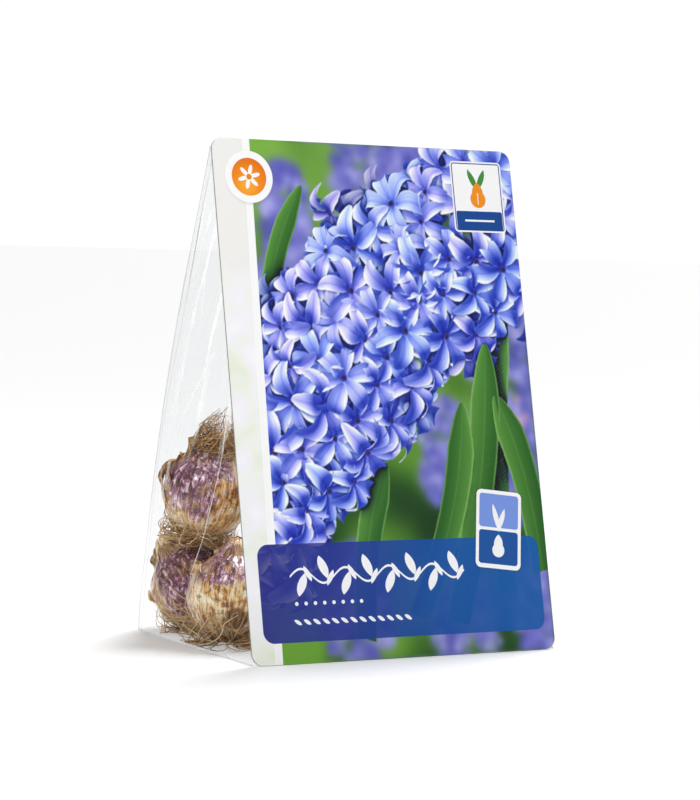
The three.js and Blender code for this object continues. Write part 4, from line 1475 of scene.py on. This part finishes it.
# Ramps of colour, darkest first
GOLD = inks((0.39, 80, 38, 14), (0.45, 188, 122, 56), (0.50, 246, 208, 142), (0.56, 255, 248, 222))
MAUVE = inks((0.42, 28, 8, 14), (0.48, 98, 38, 62), (0.53, 164, 104, 134), (0.59, 250, 228, 236))
PAPER = inks((0.3, 58, 36, 24), (0.45, 134, 92, 58), (0.58, 214, 178, 128), (0.7, 238, 214, 174))
STRAW = inks((0.12, 60, 38, 20), (0.36, 152, 108, 62), (0.6, 212, 174, 120), (0.85, 244, 222, 182))
PATCH_BROWN, PATCH_PALE, THREAD_BROWN = ink(88, 50, 28), ink(232, 206, 178), ink(84, 46, 24)
SPECK_BROWN, CRACK_BROWN = ink(46, 22, 14), ink(50, 24, 18)


def skin_finish():
    """Dry bulb skin: mauve where it blushes and golden below, with veins from base to neck."""
    finish = Finish("bulb_skin")
    grown = finish.carried("grown")
    mauve, dry, lit = finish.split(finish.carried("tone"))
    spot = finish.place()
    veins = finish.noise(finish.vector("MULTIPLY", grown, (1, 1, 0.16)), 0.05, 4, 0.6)
    threads = finish.noise(finish.vector("MULTIPLY", grown, (1, 1, 0.05)), 0.02, 2, 0.5)
    clouds = finish.noise(spot, 9, 4, 0.6, 0.6)
    marbling = finish.noise(finish.vector("MULTIPLY", spot, (1, 1, 0.6)), 2.6, 5, 0.62, 0.9)
    patches = finish.noise(finish.vector("ADD", spot, (31, 7, 19)), 6, 4, 0.6, 1.2)
    specks = finish.noise(spot, 0.9, 3, 0.6)
    crinkles = finish.noise(spot, 3.4, 3, 0.5, 1.5)
    edge = (mauve + (marbling - 0.5) * 1.8 + (clouds - 0.5) * 2.2).step(0.3, 0.7)
    gold = finish.ramp(clouds * 0.45 + veins * 0.3 + marbling * 0.25, *GOLD)
    purple = finish.ramp(marbling * 0.55 + veins * 0.25 + clouds * 0.2, *MAUVE)
    paper = finish.ramp(veins * 0.5 + lit * 0.3 + marbling * 0.2, *PAPER)
    cracks = 1 - (veins * 0.5 + crinkles * 0.5).step(0.36, 0.45)
    colour = gold
    for tone, share in (
        (purple, edge),
        (PATCH_BROWN, patches.step(0.56, 0.64) * (0.65 - 0.35 * edge)),
        (PATCH_PALE, (1 - patches.step(0.34, 0.42)) * (0.15 + 0.25 * edge)),
        (paper, dry),
        (THREAD_BROWN, threads.step(0.56, 0.72) * (0.3 - 0.15 * edge)),
        (SPECK_BROWN, specks.step(0.60, 0.72) * 0.45),
        (CRACK_BROWN, cracks * 0.45),
    ):
        colour = finish.blend(colour, tone, share)
    relief = veins * 0.25 + threads * 0.12 + crinkles * 0.9 + marbling * 0.35
    shader = finish.surface(
        Base_Color=colour,
        Roughness=0.14 + 0.36 * marbling + 0.3 * dry,
        Specular_IOR_Level=0.35,
        Coat_Weight=0.9 - 0.8 * dry,
        Coat_Roughness=0.2,
        Normal=finish.bump(relief, 0.75),
    )
    return finish.done(shader)


def fibre_finish():
    """Dry roots and straw."""
    finish = Finish("dry_fibre")
    lit = finish.split(finish.carried("tone"))[2]
    mottle = finish.noise(finish.place(), 2.2, 3, 0.6)
    shader = finish.surface(
        Base_Color=finish.ramp(lit * 0.7 + mottle * 0.4 - 0.05, *STRAW),
        Roughness=0.55 + 0.2 * mottle,
        Specular_IOR_Level=0.35,
        Normal=finish.bump(mottle, 0.15),
    )
    return finish.done(shader)


def make_bulbs():
    finishes = [skin_finish(), fibre_finish()]
    for name, facts in BULBS.items():
        Bulb(name, facts).make(finishes)


# ---------------------------------------------------------------- the floor

def make_floor():
    finish = Finish("pale_floor")
    shader = finish.surface(Base_Color=FLOOR_TONE, Roughness=0.6, Specular_IOR_Level=0.2)
    mesh = bpy.data.meshes.new("floor")
    half = FLOOR_SIZE / 2
    corners = [(-half, -half, 0), (half, -half, 0), (half, half, 0), (-half, half, 0)]
    mesh.from_pydata(corners, [], [(0, 1, 2, 3)])
    mesh.materials.append(finish.done(shader))
    floor = bpy.data.objects.new("floor", mesh)
    bpy.context.collection.objects.link(floor)


set_camera()
set_lights()
make_floor()
make_card()
make_bag()
make_bulbs()
